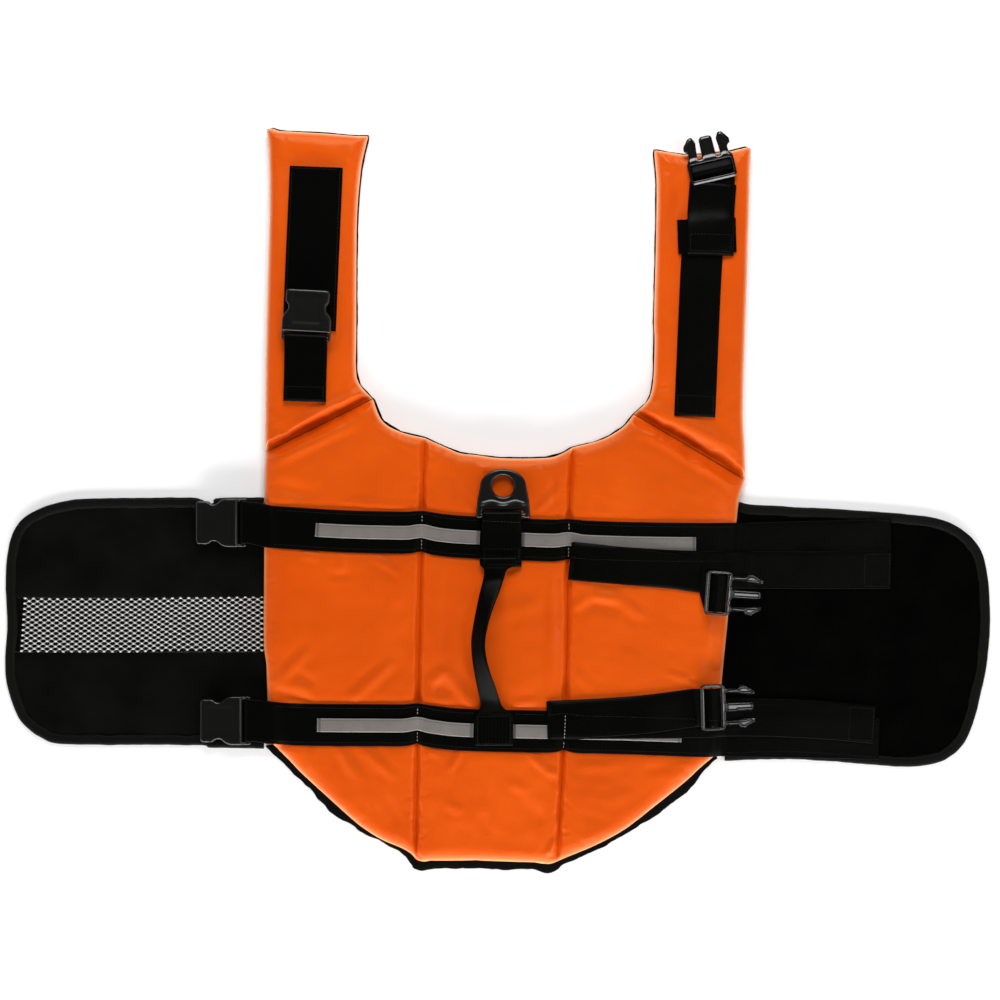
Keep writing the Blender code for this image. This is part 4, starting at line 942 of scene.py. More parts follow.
webbing = woven("black_webbing", (0.0003, 0.0003, 0.0002), (0.0019, 0.0020, 0.0015), 1.6,
                0.07, 0.38, 0.035)
reflective = Skin("reflective_tape", {"Roughness": 0.42, "Specular IOR Level": 0.5})
where, (along, across, to_end) = reflective.place("thread")
grain = reflective.mottle(where, 1.2)
cells = (along * (math.pi / 1.1)).math("SINE").math("ABSOLUTE").math(
    "MAXIMUM", (across * (math.pi / 1.1)).math("SINE").math("ABSOLUTE"))
from_middle = across.math("ABSOLUTE")
sewn_line = (from_middle > 4.1) * (5.0 - from_middle > 0.0)
end_line = (to_end > 1.0) * (3.2 - to_end > 0.0) * (cells > 0.35)
worn = reflective.mottle(where, 14.0, 3.0)
reflective.set("Base Color", reflective.shade(
    (0.075, 0.066, 0.060), (0.215, 0.196, 0.183),
    grain * 0.35 + cells * 0.2 + worn * 0.35 + (from_middle > 5.0) * 0.35 - sewn_line * 0.22
    - end_line * 0.9))
reflective.relief(cells * 0.06 + grain * 0.08 - sewn_line * 0.15)


def drape(line, width, thick, sag, step=3.0, columns=9, clear=0.15):
    """Middle surface of a strip laid along a line in plan, over what is there."""
    centre = evenly(as_points(line), step)
    run = np.gradient(centre, axis=0)
    run /= np.linalg.norm(run, axis=1, keepdims=True)
    side = np.stack((-run[:, 1], run[:, 0]), axis=-1)
    shares = np.linspace(-1.0, 1.0, columns)
    widths = np.atleast_1d(width)
    widths = np.interp(np.linspace(0.0, 1.0, len(centre)),
                       np.linspace(0.0, 1.0, len(widths)), widths)
    plan = centre[:, None] + side[:, None] * shares[None, :, None] * widths[:, None, None] / 2.0
    height = ground_height(plan)
    cross_sag = 0.35 * (widths.max() / (columns - 1)) ** 2 / step ** 2 * sag
    for _ in range(120):
        middle = (height[2:] + height[:-2]) / 2.0 - sag
        height[1:-1] = np.maximum(height[1:-1], middle)
        middle = (height[:, 2:] + height[:, :-2]) / 2.0 - cross_sag
        height[:, 1:-1] = np.maximum(height[:, 1:-1], middle)
    for _ in range(2):
        height[1:-1] = np.maximum(height[1:-1] * 0.5 + (height[2:] + height[:-2]) * 0.25,
                                  height[1:-1] - 0.1)
    return np.dstack((plan, height + thick / 2.0 + clear))


def normals_of(grid):
    """Upward unit normals over a grid of points."""
    along = np.gradient(grid, axis=0)
    across = np.gradient(grid, axis=1)
    up = np.cross(along, across)
    return up / np.maximum(np.linalg.norm(up, axis=-1, keepdims=True), 1e-9)


def straight_rows(centres, across, width, columns=9):
    """Rows of a strip that stay straight from edge to edge."""
    shares = np.linspace(-1.0, 1.0, columns)
    centres, across = as_points(centres), as_points(across)
    return centres[:, None] + across[:, None] * shares[None, :, None] * width / 2.0


def round_bar(centre, heading, radius, turns=10):
    """Middle line of webbing that comes in over a bar and goes back under it."""
    centre = np.array(centre, float)
    heading = np.array(heading, float)
    angles = np.linspace(0.0, math.pi, turns + 1)
    return (centre + heading * radius * np.sin(angles)[:, None]
            + np.array((0.0, 0.0, radius)) * np.cos(angles)[:, None])


def ribbon(name, grid, thick, skin, round_edge=0.9):
    """A strip of even thickness about its middle surface, its edges rounded."""
    up = normals_of(grid)
    rows, columns = grid.shape[:2]
    width = np.linalg.norm(grid[:, -1] - grid[:, 0], axis=-1).mean()
    run = lengths_along(grid[:, columns // 2])
    share = min(round_edge / (width / 2.0), 0.4)
    wanted = np.array([-1.0, -1.0 + 0.35 * share, -1.0 + share,
                       *np.linspace(-1.0, 1.0, columns)[1:-1], 1.0 - share,
                       1.0 - 0.35 * share, 1.0])
    fullness = np.array([0.0, 0.7, 1.0, *([1.0] * (columns - 2)), 1.0, 0.7, 0.0])
    source = np.linspace(-1.0, 1.0, columns)
    low = np.clip(np.searchsorted(source, wanted) - 1, 0, columns - 2)
    mix = (wanted - source[low]) / (source[low + 1] - source[low])
    middle = grid[:, low] * (1.0 - mix)[None, :, None] + grid[:, low + 1] * mix[None, :, None]
    up = up[:, low] * (1.0 - mix)[None, :, None] + up[:, low + 1] * mix[None, :, None]
    offset = up * (fullness * thick / 2.0)[None, :, None]
    ring = np.concatenate((middle + offset, (middle - offset)[:, -2:0:-1]), axis=1)
    around = ring.shape[1]
    across = np.concatenate((wanted, wanted[-2:0:-1])) * width / 2.0
    thread = np.zeros_like(ring)
    thread[..., 0] = run[:, None]
    thread[..., 1] = across[None, :]
    thread[..., 2] = np.minimum(run, run[-1] - run)[:, None]
    faces = [(s * around + k, (s + 1) * around + k, (s + 1) * around + (k + 1) % around,
              s * around + (k + 1) % around)
             for s in range(rows - 1) for k in range(around)]
    last = (rows - 1) * around
    columns_out = len(wanted)
    for base, turned in ((0, False), (last, True)):
        for k in range(columns_out - 1):
            lower_a = (around - k) % around
            lower_b = around - k - 1
            face = (base + k, base + k + 1, base + lower_b, base + lower_a)
            face = tuple(dict.fromkeys(face))
            faces.append(face[::-1] if turned else face)
    obj = piece(name, ring, faces, skin, thread=thread)
    obj["cut"] = (float(width) * MM, float(run[-1]) * MM)
    return obj


def at_seams(line):
    """1 where a band crosses the seams of the back, less beside them."""
    drawn = 0.0
    for seam in (left_seam[::-1], right_seam[::-1]):
        crossing = np.interp(line[:, 1], seam[:, 1], seam[:, 0])
        drawn = drawn + np.exp(-((line[:, 0] - crossing) / SEAM_REACH) ** 2)
    return drawn


# The quilting seams pull each band up and in a little where they cross.
SEAM_REACH = 8.0
SEAM_LIFT = 2.0
SEAM_PINCH = 1.9
BAND_STEP = 3.0
BANDS = {}
for level, line in (("upper", smooth(UPPER_BAND)), ("lower", smooth(LOWER_BAND))):
    bar = np.array(BARS[level])
    leg_end = (bar[0] + LEG_LENGTH, bar[1])
    line = evenly(np.vstack((line, (leg_end,))), BAND_STEP)
    drawn = at_seams(line)
    line[:, 1] += SEAM_LIFT * drawn
    BANDS[level] = line
    laid = drape(line, WEBBING_WIDTH - SEAM_PINCH * drawn, WEBBING_THICK, 0.7)
    leg = laid[..., 0] < LEG_START
    laid[..., 2] = np.where(leg, np.maximum(laid[..., 2], bar[2] + LOOP_RADIUS), laid[..., 2])
    laid[-1, :, 2] = bar[2] + LOOP_RADIUS
    turn = round_bar(bar, (-1.0, 0.0, 0.0), LOOP_RADIUS)
    loop = [*turn, (UNDER_LEG_END, bar[1], bar[2] - LOOP_RADIUS)]
    loop = straight_rows(loop, [(0.0, -1.0, 0.0)] * len(loop), WEBBING_WIDTH)
    obj = ribbon(f"band_{level}_webbing", np.concatenate((laid, loop)), WEBBING_THICK, webbing)
    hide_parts(f"band_{level}")

for side, level, low, high in (("left", "upper", -163.0, -14.4), ("right", "upper", 21.0, 179.0),
                               ("left", "lower", -162.0, -20.4), ("right", "lower", 13.6, 165.6)):
    line = evenly(BANDS[level][::-1], 1.0)
    line = line[(line[:, 0] > low) & (line[:, 0] < high)]
    laid = drape(line, TAPE_WIDTH, TAPE_THICK, 0.9, columns=5, clear=0.05)
    obj = ribbon(f"reflective_{level}_{side}", laid, TAPE_THICK, reflective, 0.5)
    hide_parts(f"tape_{level}_{side}")

# ------------------------------------------------------------------ belly straps
# Two long straps. Each is sewn to the right wing's root, runs back along its band,
# folds over and comes forward again through the ladder frame of its plug.
STRAP_WIDTH = 34.0
PLUG_THICK = 5.0
FRAME_LENGTH = 28.0
UPPER_PLUG = (0.86, 1.02, 0.94)     # a plug's frame, prongs and width, against a full one's
LOWER_PLUG = (0.82, 0.97, 0.98)
SHORT_PLUG = (0.79, 0.68, 1.0)
THREADED = ((-2.0, 1.05), (5.2, 1.05), (9.5, 3.2), (13.0, 4.25), (16.5, 3.5), (19.4, 2.5),
            (22.3, 2.1))


def facing(heading, nose_down=0.0):
    """Turn of a hard piece: its +X toward a heading, tipped down at that end."""
    return (Matrix.Rotation(math.radians(heading), 3, "Z")
            @ Matrix.Rotation(math.radians(nose_down), 3, "Y"))


def spot_of(node, x, y, nose):
    """A plug's place; its height comes from the top of its solid."""
    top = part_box(node)[1].z / MM
    return Vector((x, y, top - PLUG_THICK * math.cos(math.radians(nose))))


def plug_reach(size, along):
    """A place along a full-size plug, moved to where this size has it."""
    return (np.minimum(along, FRAME_LENGTH) * size[0]
            + np.maximum(np.asarray(along) - FRAME_LENGTH, 0.0) * size[1])


def threading(size, spot, turn, width):
    """The end of a strap through the ladder frame, as smooth rows."""
    line = smooth([(plug_reach(size, along), 0.0, above) for along, above in THREADED], 4)
    return (straight_rows([spot + turn @ Vector(p) for p in line],
                          [turn @ Vector((0.0, 1.0, 0.0))] * len(line), width))


STRAPS = (
    ("upper", ((356.0, -62.6), (240.0, -62.3), (150.0, -60.5), (67.5, -54.2)),
     ((67.5, -53.4), (105.0, -57.2), (135.0, -60.6), (160.0, -63.4), (172.0, -65.8),
      (183.2, -67.4)), 29.5, (185.1, -81.2), -4.0, 7.0, UPPER_PLUG),
    ("lower", ((341.0, -202.0), (244.0, -195.5), (47.0, -196.5)),
     ((47.0, -196.2), (120.0, -192.0), (177.0, -185.2)), STRAP_WIDTH, (181.1, -184.8), 1.5, 7.0,
     LOWER_PLUG),
)
plug_places = {}
for level, line, fold_line, end_width, plug_spot, heading, nose, size in STRAPS:
    back = drape(smooth(line), STRAP_WIDTH, WEBBING_THICK, 0.12)
    under = ribbon("resting", back, WEBBING_THICK, webbing)
    spot = spot_of(f"buckle_plug_{level}", *plug_spot, nose)
    turn = facing(heading, nose)
    plug_places[level] = (spot, turn, size)
    threaded = threading(size, spot, turn, STRAP_WIDTH)[2:]
    taper = np.linspace(0.0, 1.0, 40) ** 2
    front = drape(smooth(fold_line), STRAP_WIDTH + (end_width - STRAP_WIDTH) * taper,
                  WEBBING_THICK, 0.12)
    bpy.data.objects.remove(under)
    radius = (front[0, 4, 2] - back[-1, 4, 2]) / 2.0
    centre = (front[0, 4] + back[-1, 4]) / 2.0 - (0.7, 0.0, 0.0)
    turn_line = round_bar(centre, (-1.0, 0.0, 0.0), radius, 8)[::-1]
    ends = (back[-1, -1] - back[-1, 0], front[0, 0] - front[0, -1])
    sides = [(ends[0] * (1.0 - k / 8.0) + ends[1] * k / 8.0) / STRAP_WIDTH for k in range(9)]
    folded = straight_rows(turn_line, sides, STRAP_WIDTH)
    joining = (front[-1] * 2.0 + threaded[0]) / 3.0, (front[-1] + threaded[0] * 2.0) / 3.0
    front = np.concatenate((front, joining, threaded))
    grid = np.concatenate((back, folded, front[:, ::-1]))
    obj = ribbon(f"strap_{level}_webbing", grid, WEBBING_THICK, webbing)
    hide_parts(f"strap_{level}_back_run", f"strap_{level}_front_run")

# ------------------------------------------------------------- leash ring's tab
RING_BAR_RADIUS = 1.8
RING_BAR = (5.5, -12.6, 20.921)
TAB_WIDTH = 35.4


def doubled_end(line, width, bar, heading, bar_radius, bulge=0.0, sag=0.3):
    """Webbing laid up to a bar, turned round it and brought back over itself."""
    radius = bar_radius + BAR_SLACK + WEBBING_THICK / 2.0
    laid = drape(line, width, WEBBING_THICK, sag)
    bar = np.array(bar)
    away = np.array((math.cos(math.radians(heading)), math.sin(math.radians(heading)), 0.0))
    side = np.array((-away[1], away[0], 0.0))
    loop = round_bar(bar, away, radius)[::-1]
    reach = (bar - laid[:, 4]) @ away
    back = laid[reach > 13.0][::-1] + (0.0, 0.0, WEBBING_THICK + 0.35)
    back[..., 2] += bulge * np.exp(-((reach[reach > 13.0][::-1, None] - 18.5) / 5.0) ** 2)
    return np.concatenate((laid, straight_rows(loop, [side] * len(loop), width), back))


tab_x = RING_BAR[0] - 1.2
tab_line = ((tab_x, RING_BAR[1] - 46.6), (tab_x, RING_BAR[1] - 9.0))
obj = ribbon("ring_tab_webbing", doubled_end(tab_line, TAB_WIDTH, (tab_x, *RING_BAR[1:]), 90.0,
                                             RING_BAR_RADIUS), WEBBING_THICK, webbing)
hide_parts("ring_tab")

# ------------------------------------------------------------------- grab handle
# Webbing folded round a soft core; it stands off the back and leans to one side.
HANDLE = (                  # y, x, lift, width, thick, lean in degrees
    (-50.6, 1.2, 0.0, 33.0, 1.6, 0.0), (-55.6, 1.1, 0.0, 33.4, 1.8, 0.0),
    (-58.4, 0.6, 0.0, 30.0, 2.2, 0.0), (-61.4, -1.2, 0.2, 21.0, 3.2, 0.0),
    (-70.0, -3.2, 1.5, 18.5, 3.8, 6.0),
    (-82.0, -6.8, 5.5, 18.0, 4.0, 18.0), (-95.0, -10.8, 10.0, 17.0, 4.0, 32.0),
    (-110.0, -14.5, 13.5, 17.0, 4.0, 43.0), (-125.0, -16.6, 15.0, 17.0, 4.0, 47.0),
    (-140.0, -15.4, 14.0, 17.0, 4.0, 43.0), (-154.0, -12.4, 10.5, 17.0, 4.0, 32.0),
    (-167.0, -9.0, 5.5, 17.5, 4.0, 18.0), (-177.0, -6.6, 2.0, 18.0, 3.8, 6.0),
    (-184.0, -5.0, 0.6, 20.0, 3.0, 0.0), (-189.5, -3.0, 0.0, 30.0, 2.0, 0.0),
    (-193.0, -2.7, 0.0, 34.0, 2.0, 0.0), (-219.0, -2.7, 0.0, 34.0, 2.0, 0.0))

rows = []
for y, x, lift, width, thick, lean in HANDLE:
    feelers = np.array([(x + width / 2.0 * s, y + t) for s in np.linspace(-1, 1, 7)
                        for t in (-5.5, 0.0, 5.5)])
    rest = ground_height(feelers).max()
    tip = math.radians(lean)
    height = rest + GAP + width / 2.0 * math.sin(tip) + thick / 2.0 * math.cos(tip) + lift
    rows.append((x, y, height, width / 2.0, thick / 2.0, tip))
rows = evenly(smooth(rows, 8), 2.0)
AROUND = 28
angles = np.linspace(0.0, 2.0 * math.pi, AROUND, endpoint=False)
flat_x = np.sign(np.cos(angles)) * np.abs(np.cos(angles)) ** 0.45
flat_z = np.sign(np.sin(angles)) * np.abs(np.sin(angles)) ** 0.8
rings = []
for x, y, height, half_width, half_thick, tip in rows:
    side = np.array((math.cos(tip), 0.0, math.sin(tip)))
    up = np.array((-math.sin(tip), 0.0, math.cos(tip)))
    rings.append(np.array((x, y, height)) + side * (flat_x * half_width)[:, None]
                 + up * (flat_z * half_thick)[:, None])
rings = np.array(rings)
run = lengths_along(rows[:, :3])
thread = np.zeros_like(rings)
thread[..., 0] = run[:, None]
thread[..., 1] = (flat_x * 9.0)[None, :]
handle = piece("grab_handle_grip", rings, tube_faces(len(rows), AROUND), webbing,
               thread=thread)
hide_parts("grab_handle")

# ------------------------------------------------------- closures of the two arms
HOOK_WIDTH = 47.6
HOOK_THICK = 2.0
NECK_BAR = (-170.5, 145.5, 22.351)
hooks = Skin("hook_tape", {"Roughness": 0.8, "Specular IOR Level": 0.02})
where, (along, across, _) = hooks.place("thread")
dots = (along * (math.pi / 0.9)).math("SINE").math("ABSOLUTE") * \
    (across * (math.pi / 0.9)).math("SINE").math("ABSOLUTE")
hooks.set("Base Color", hooks.shade((0.0003, 0.0003, 0.0003), (0.0018, 0.0018, 0.0015), dots))
hooks.relief(dots * 0.12)

HOOK_STRIP_LINE = ((-161.9, 299.4), (-168.2, 153.0))
obj = ribbon("hook_strip_tape", drape(HOOK_STRIP_LINE, HOOK_WIDTH, HOOK_THICK, 0.25),
             HOOK_THICK, hooks)
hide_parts("hook_strip_left")
obj = ribbon("neck_webbing_left_loop",
             doubled_end(((-172.3, 89.0), (-171.0, 136.5)), WEBBING_WIDTH, NECK_BAR, 87.0,
                         BAR_RADIUS, 1.3), WEBBING_THICK, webbing)
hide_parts("neck_webbing_left")

NECK_STRAP_WIDTH = 36.9
NECK_LINE = ((177.2, 75.6), (183.9, 222.0), (190.5, 250.0), (193.9, 272.0))
spot = spot_of("buckle_plug_neck", 194.8, 286.4, 0.0)
turn = facing(103.0)
plug_places["neck"] = (spot, turn, SHORT_PLUG)
laid = drape(smooth(NECK_LINE), NECK_STRAP_WIDTH, WEBBING_THICK, 0.2)
threaded = threading(SHORT_PLUG, spot, turn, NECK_STRAP_WIDTH)
obj = ribbon("neck_webbing_right_strap", np.concatenate((laid, threaded)), WEBBING_THICK, webbing)
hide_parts("neck_webbing_right")
for name, node, line, width, thick, skin, slot, under in (
        ("hook_patch_tape", "hook_patch_right", ((162.0, 236.5), (214.0, 238.5)), 31.0,
         HOOK_THICK, hooks, "hook_tape", "neck_webbing_right_strap"),
        ("neck_strap_end", "neck_strap_tail",
         ((193.6, 284.6), (191.6, 255.0), (190.9, 220.0)), 42.0, 2.0, webbing,
         "black_webbing", "hook_patch_tape")):
    obj = ribbon(name, drape(smooth(line), width, thick, 0.25), thick, skin)
    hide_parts(node)

# ------------------------------------------------------------------ hard pieces
# Moulded black plastic with rounded, glossy edges: three buckle sockets on their webbing
# bars, the three plugs that go into them, and the leash ring on its own bar.
def acetal(name, roughness, specular):
    """Black moulded plastic, a little clouded."""
    skin = Skin(name, {"Roughness": roughness, "Specular IOR Level": specular})
    where, _ = skin.place()
    skin.set("Base Color", skin.shade((0.0014, 0.0014, 0.0012), (0.0032, 0.0032, 0.0026),
                                      skin.mottle(where, 30.0)))
    skin.relief(skin.mottle(where, 0.6) * 0.012)
    return skin


satin = acetal("satin_acetal", 0.3, 0.42)
glossy = acetal("glossy_acetal", 0.2, 0.6)
EDGE_STEPS = (0.04, 0.14, 0.3, 0.52, 0.8)    # rows of corners over a rounded edge


def both_halves(half, size=(1.0, 1.0, 1.0)):
    """A closed outline from its +Y half, in order round the shape."""
    half = np.array([(plug_reach(size, x), y * size[2]) for x, y in half])
    return np.vstack((half, half[::-1] * (1.0, -1.0)))


def softened(corners, step=0.75):
    """A closed outline with its corners rounded off a little."""
    line = evenly_round(corners, step)
    for _ in range(3):
        line = line * 0.5 + (np.roll(line, 1, axis=0) + np.roll(line, -1, axis=0)) * 0.25
    return line


def moulded(outline, holes, radius, top, foot, spacing=1.5):
    """A moulded plate between two faces, rounded at its rim and round its holes."""
    loops = [softened(outline)] + [softened(hole) for hole in holes]
    inward = [-1.0] + [1.0] * len(holes)
    corners = np.vstack(loops)
    ties = []
    first = 0
    for loop in loops:
        ties += [(first + k, first + (k + 1) % len(loop)) for k in range(len(loop))]
        first += len(loop)

    def inset_of(points):
        insets = [distance_inside(points, loops[0])]
        insets += [-distance_inside(points, loop) for loop in loops[1:]]
        return np.min(insets, axis=0)

    for loop, way in zip(loops, inward):
        for step in EDGE_STEPS:
            row = sideways(loop, way * step * radius, closed=True)
            corners = np.vstack((corners, row[inset_of(row) > 0.85 * step * radius]))
    low, high = loops[0].min(axis=0), loops[0].max(axis=0)
    across, along = np.meshgrid(np.arange(low[1], high[1], spacing),
                                np.arange(low[0], high[0], spacing))
    filling = np.column_stack((along.ravel(), across.ravel()))
    filling = filling[inset_of(filling) > radius]
    corners = np.vstack((corners, filling))
    plan, _, triangles, *_ = delaunay_2d_cdt(
        [Vector(p) for p in corners], ties, [list(range(len(loops[0])))], 1, 1e-5)
    plan = as_points(plan)
    centres = plan[np.array(triangles)].mean(axis=1)
    triangles = [tuple(t) for t, inside in zip(triangles, inset_of(centres)) if inside > 0.0]
    inset = np.clip(inset_of(plan), 0.0, radius)
    rounding = radius - np.sqrt(np.maximum(radius ** 2 - (radius - inset) ** 2, 0.0))
    upper = np.column_stack((plan, top(plan[:, 0], plan[:, 1]) - rounding))
    lower = np.column_stack((plan, foot(plan[:, 0], plan[:, 1]) + rounding))
    total = len(plan)
    faces = triangles + [tuple(total + k for k in reversed(t)) for t in triangles]
    first = 0
    for loop in loops:
        count = len(loop)
        for k in range(count):
            a, b = first + k, first + (k + 1) % count
            faces.append((total + a, total + b, b, a))
        first += count
    return np.vstack((upper, lower)), faces


def round_rod(radius, half_length, along, above, sides=20):
    """A round bar across a buckle."""
    angles = np.linspace(0.0, 2.0 * math.pi, sides, endpoint=False)
    ring = np.column_stack((along + radius * np.cos(angles), 0.0 * angles,
                            above + radius * np.sin(angles)))
    points = np.vstack([ring + (0.0, y, 0.0) for y in (-half_length, half_length)])
    faces = [(k, (k + 1) % sides, sides + (k + 1) % sides, sides + k) for k in range(sides)]
    return points, faces


def fitting(name, node, body, skin, parts, spot, turn, hollows=()):
    """One moulded fitting from its parts, set where its solid is and hollowed out."""
    points, faces = [], []
    for part_points, part_faces in parts:
        first = sum(len(p) for p in points)
        points.append(part_points)
        faces += [tuple(first + k for k in face) for face in part_faces]
    turned = np.vstack(points) @ np.array(turn).T + np.array(spot)
    obj = piece(name, turned, faces, skin, body=body)
    for number, (low, high) in enumerate(hollows):
        ends = [[low[k], high[k]] for k in range(3)]
        block_points = [Vector((x, y, z)) for x in ends[0] for y in ends[1] for z in ends[2]]
        mesh = bpy.data.meshes.new("hollow")
        mesh.from_pydata([tuple((Vector(spot) + turn @ p) * MM) for p in block_points], [],
                         [(0, 1, 3, 2), (4, 6, 7, 5), (0, 4, 5, 1), (2, 3, 7, 6), (0, 2, 6, 4),
                          (1, 5, 7, 3)])
        block = bpy.data.objects.new("hollow", mesh)
        bpy.context.scene.collection.objects.link(block)
        cut = obj.modifiers.new("hollow", "BOOLEAN")
        cut.operation = "DIFFERENCE"
        cut.object = block
        bpy.context.view_layer.update()
        shaped = bpy.data.meshes.new_from_object(
            obj.evaluated_get(bpy.context.evaluated_depsgraph_get()))
        obj.modifiers.clear()
        obj.data = shaped
        bpy.data.objects.remove(block)
    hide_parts(node)


def step_up(value, start, end):
    """0 before start, 1 after end, with a smooth rise between."""
    share = np.clip((value - start) / (end - start), 0.0, 1.0)
    return share * share * (3.0 - 2.0 * share)


SOCKET_HALF = ((43.0, 17.5), (41.0, 19.5), (32.0, 19.5), (28.5, 16.8), (24.5, 16.8),
               (20.0, 20.5), (16.0, 22.0), (-1.0, 22.0), (-3.0, 21.0), (-3.0, 19.3), (4.5, 19.3))
SOCKET_HALF_DEPTH = 4.3
MOUTH = ((12.0, -15.2, -2.3), (50.0, 15.2, 2.3))


def socket_top(x, y):
    """A pillowed face, lower beside the webbing, with a shallow panel in its middle."""
    crown = 0.35 * (1.0 - (y / 22.0) ** 2)
    panel = 0.4 * (step_up(x, 12.5, 13.6) * step_up(-x, -38.5, -37.2)
                   * step_up(-np.abs(y), -13.2, -12.0))
    arms = 1.2 * (1.0 - step_up(x, 4.8, 6.6))
    return SOCKET_HALF_DEPTH - 0.35 + crown - panel - arms


for level, bar, heading in (("upper", BARS["upper"], 180.0), ("lower", BARS["lower"], 180.0),
                            ("neck", NECK_BAR, 87.0)):
    fitting(f"socket_{level}_moulding", f"buckle_socket_{level}", f"socket_{level}", satin,
            [moulded(both_halves(SOCKET_HALF), (), 2.0, socket_top,
                     lambda x, y: -SOCKET_HALF_DEPTH + 1.2 * (1.0 - step_up(x, 4.8, 6.6))),
             round_rod(BAR_RADIUS, 20.6, 0.0, 0.0)], bar, facing(heading), (MOUTH,))

PLUG_HALF = ((0.0, 18.5), (2.5, 21.0), (24.0, 21.0), (28.0, 19.2), (28.0, 16.8), (40.0, 16.2),
             (42.5, 19.4), (46.5, 19.4), (56.0, 13.6), (56.0, 11.6), (50.0, 10.8), (41.0, 12.2),
             (28.0, 13.0), (28.0, 4.2), (53.0, 3.6), (55.0, 2.2))
PLUG_SLOT = ((4.5, -18.6), (22.5, -18.6), (22.5, 18.6), (4.5, 18.6))
LADDER_BAR = (13.0, 1.7, 1.4)       # along and above the plug's base, and its radius
SHORT_PLUG_HALF = ((0.0, 18.5), (2.5, 21.0), (24.0, 21.0), (28.0, 19.6), (28.0, 18.0),
                   (38.0, 17.8), (41.0, 21.0), (47.0, 21.0), (57.5, 15.4), (58.0, 12.0),
                   (50.0, 9.4), (41.0, 10.0), (28.0, 10.8), (28.0, 6.4), (54.0, 5.8), (56.0, 4.0))
for level, (spot, turn, size) in plug_places.items():
    half = SHORT_PLUG_HALF if size is SHORT_PLUG else PLUG_HALF
    slot = np.array([(plug_reach(size, x), y * size[2]) for x, y in PLUG_SLOT])
    prongs = plug_reach(size, FRAME_LENGTH)
    under = plug_reach(size, 4.9)
    inner = 18.6 * size[2]

    def plug_top(x, y):
        return PLUG_THICK - 0.9 * step_up(x, prongs - 1.0, prongs + 2.0)

    def plug_foot(x, y):
        raised = 2.3 * (1.0 - step_up(x, under, under + 0.7)) * step_up(-np.abs(y), -inner - 0.8,
                                                                        -inner)
        return raised + 0.9 * step_up(x, prongs - 1.0, prongs + 2.0)

    along = float(plug_reach(size, LADDER_BAR[0]))
    fitting(f"plug_{level}_moulding", f"buckle_plug_{level}", "jacket", glossy,
            [moulded(both_halves(half, size), (slot,), 1.3, plug_top, plug_foot, 1.2),
             round_rod(LADDER_BAR[2], inner + 0.8, along, LADDER_BAR[1])], spot, turn)


def arc(centre, across_x, across_y, first, last, count):
    """Points of an oval arc between two angles in degrees."""
    angles = np.radians(np.linspace(first, last, count))
    return np.column_stack((centre + across_x * np.cos(angles), across_y * np.sin(angles)))


RING_HALF_THICK = 2.1
EYE_CENTRE = 26.0
EYE_RADIUS = 9.9
RING_HALF = (*arc(EYE_CENTRE, 15.4, 20.6, 4.0, 90.0, 14), (13.0, 23.2), (2.0, 24.2),
             (-1.6, 24.2), (-2.6, 23.2), (-2.6, 18.2), (4.1, 18.2))


def ring_top(x, y):
    """A domed rim round the eye, and a curved rib between it and the webbing."""
    rib = 0.9 * np.exp(-((x - 10.9 + 1.1 * np.cos(y / 3.4)) / 1.0) ** 2) \
        * step_up(-np.abs(y), -21.0, -18.0)
    sunk = 0.8 * (1.0 - step_up(x, 7.2, 9.4))
    return RING_HALF_THICK + rib - sunk


fitting("leash_ring_moulding", "leash_ring", "ring", satin,
        [moulded(both_halves(RING_HALF), (arc(EYE_CENTRE, EYE_RADIUS, EYE_RADIUS, 0.0, 345.0, 24),),
                 2.0, ring_top, lambda x, y: -RING_HALF_THICK + 0.0 * x, 0.7),
         round_rod(RING_BAR_RADIUS, 19.8, 0.0, 0.0)], RING_BAR, facing(90.0, 4.0))

# ------------------------------------------------------------------------ stitches
# Sewing thread, stitch by stitch: black along the webbing, the tapes and the wings'
# bindings, and pale where the quilting seams cross the two bands.
black_thread = Skin("black_thread", {"Roughness": 0.5, "Specular IOR Level": 0.12})
where, _ = black_thread.place()
black_thread.set("Base Color", black_thread.shade(
    (0.0012, 0.0012, 0.0012), (0.0055, 0.0055, 0.0050), black_thread.mottle(where, 4.0)))
pale_thread = Skin("pale_thread", {"Roughness": 0.5, "Specular IOR Level": 0.4})
where, _ = pale_thread.place()
pale_thread.set("Base Color", pale_thread.shade((0.10, 0.085, 0.07), (0.34, 0.30, 0.26),
                                                pale_thread.mottle(where, 5.0)))
LOOP_EDGE = -254.0          # inward of this, loops and sockets cover the left binding's seam
STITCH_SHARES = ((-0.5, 0.25, 0.0), (-0.32, 1.0, 0.8), (0.0, 1.0, 1.0), (0.32, 1.0, 0.8),
                 (0.5, 0.25, 0.0))


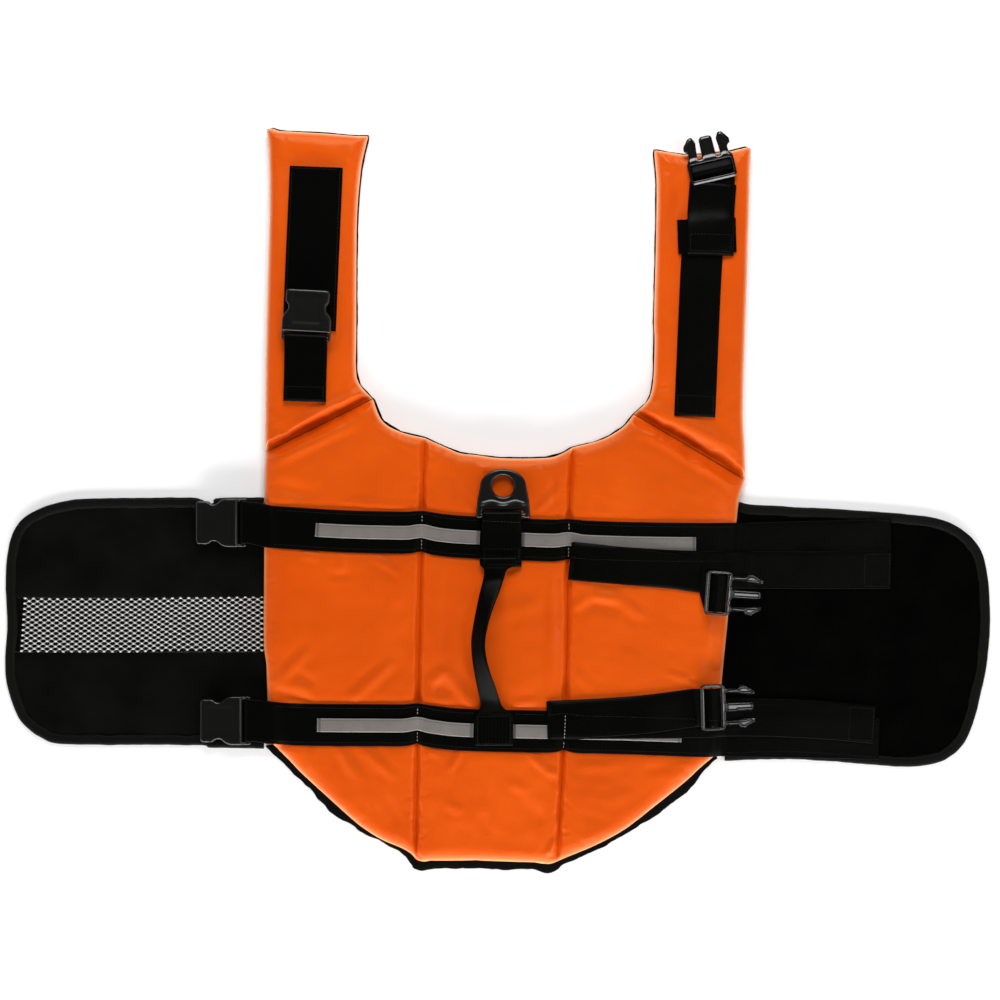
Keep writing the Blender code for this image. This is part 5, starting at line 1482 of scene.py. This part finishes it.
def stitches(name, lines, pitch, length, thread_width, skin):
    """Rows of stitches along lines in plan, each stitch a small rounded bead of thread."""
    points, faces = [], []
    for line in lines:
        line = as_points(line)
        total = lengths_along(line)[-1]
        centres = at_shares(line, (np.arange(int(total / pitch)) + 0.5) * pitch / total)
        ahead = at_shares(line, np.clip(((np.arange(int(total / pitch)) + 0.5) * pitch + 0.5)
                                        / total, 0.0, 1.0))
        heading = ahead - centres
        heading /= np.maximum(np.linalg.norm(heading, axis=1, keepdims=True), 1e-9)
        for centre, run in zip(centres, heading):
            side = np.array((-run[1], run[0]))
            plan = [centre + run * length * share + side * thread_width * wide * edge / 2.0
                    for share, wide, _ in STITCH_SHARES for edge in (-1.0, 0.0, 1.0)]
            rest = ground_height(np.array(plan))
            if np.ptp(rest) > 1.2:
                continue
            first = len(points)
            for k, place in enumerate(plan):
                crown = STITCH_SHARES[k // 3][2] * (1.0 if k % 3 == 1 else 0.45)
                points.append((*place, rest[k] + 0.02 + 0.3 * crown))
            faces += [(first + 3 * row + k, first + 3 * row + 3 + k, first + 3 * row + 4 + k,
                       first + 3 * row + 1 + k) for row in range(4) for k in range(2)]
    return piece(name, points, faces, skin, ground=False)


def offset_lines(line, distances):
    """Copies of a line moved sideways by each distance."""
    line = evenly(as_points(line), 3.0)
    return [sideways(line, distance) for distance in distances]


def box_of(line, half_width, inset):
    """A stitched box round the end of a strip laid along a line."""
    line = evenly(as_points(line), 2.0)
    left, right = (sideways(line, half_width * side) for side in (-1.0, 1.0))
    left, right = left[inset:-inset], right[inset:-inset]
    return [np.vstack((left, right[::-1], left[:1]))]


seam_crossings = []
for level, line in BANDS.items():
    for seam in (left_seam[::-1], right_seam[::-1]):
        crossing = np.interp(line[:, 1], seam[:, 1], seam[:, 0])
        k = np.abs(line[:, 0] - crossing).argmin()
        middle_y = line[k, 1]
        half = WEBBING_WIDTH / 2.0 - 2.2
        seam_crossings.append([(np.interp(y, seam[:, 1], seam[:, 0]), y)
                               for y in (middle_y - half, middle_y + half)])
obj = stitches("seam_stitches", seam_crossings, 3.1, 2.0, 0.75, pale_thread)

edge_rows = []
for level, line in BANDS.items():
    kept = line[(line[:, 0] < 214.0) & (line[:, 0] > -204.0)]
    edge_rows += offset_lines(kept, (-WEBBING_WIDTH / 2.0 + 3.6, WEBBING_WIDTH / 2.0 - 3.6))
for edge in (left_edge, right_edge):
    edge_rows += [row[beside_body(row) & ((row[:, 0] > 0.0) | (row[:, 0] < LOOP_EDGE))]
                  for row in offset_lines(edge, (-BINDING_WIDTH * 0.83,))]
edge_rows += box_of(HOOK_STRIP_LINE, HOOK_WIDTH / 2.0 - 2.2, 1)
edge_rows += box_of(((-172.3, 89.0), (-171.9, 104.0)), WEBBING_WIDTH / 2.0 - 2.5, 1)
edge_rows += box_of(((177.2, 75.6), (178.0, 96.0)), NECK_STRAP_WIDTH / 2.0 - 2.5, 1)
edge_rows += box_of(((191.2, 240.0), (190.9, 221.5)), 18.4, 1)
edge_rows += box_of(((-2.7, -190.5), (-2.7, -219.0)), 14.8, 1)
edge_rows += box_of(((tab_x, -58.8), (tab_x, -41.0)), TAB_WIDTH / 2.0 - 2.4, 1)
edge_rows += box_of(((356.0, -62.6), (330.0, -62.5)), STRAP_WIDTH / 2.0 - 2.4, 1)
edge_rows += box_of(((341.0, -202.0), (316.0, -200.4)), STRAP_WIDTH / 2.0 - 2.4, 1)
obj = stitches("webbing_stitches", edge_rows, 3.0, 2.1, 0.6, black_thread)
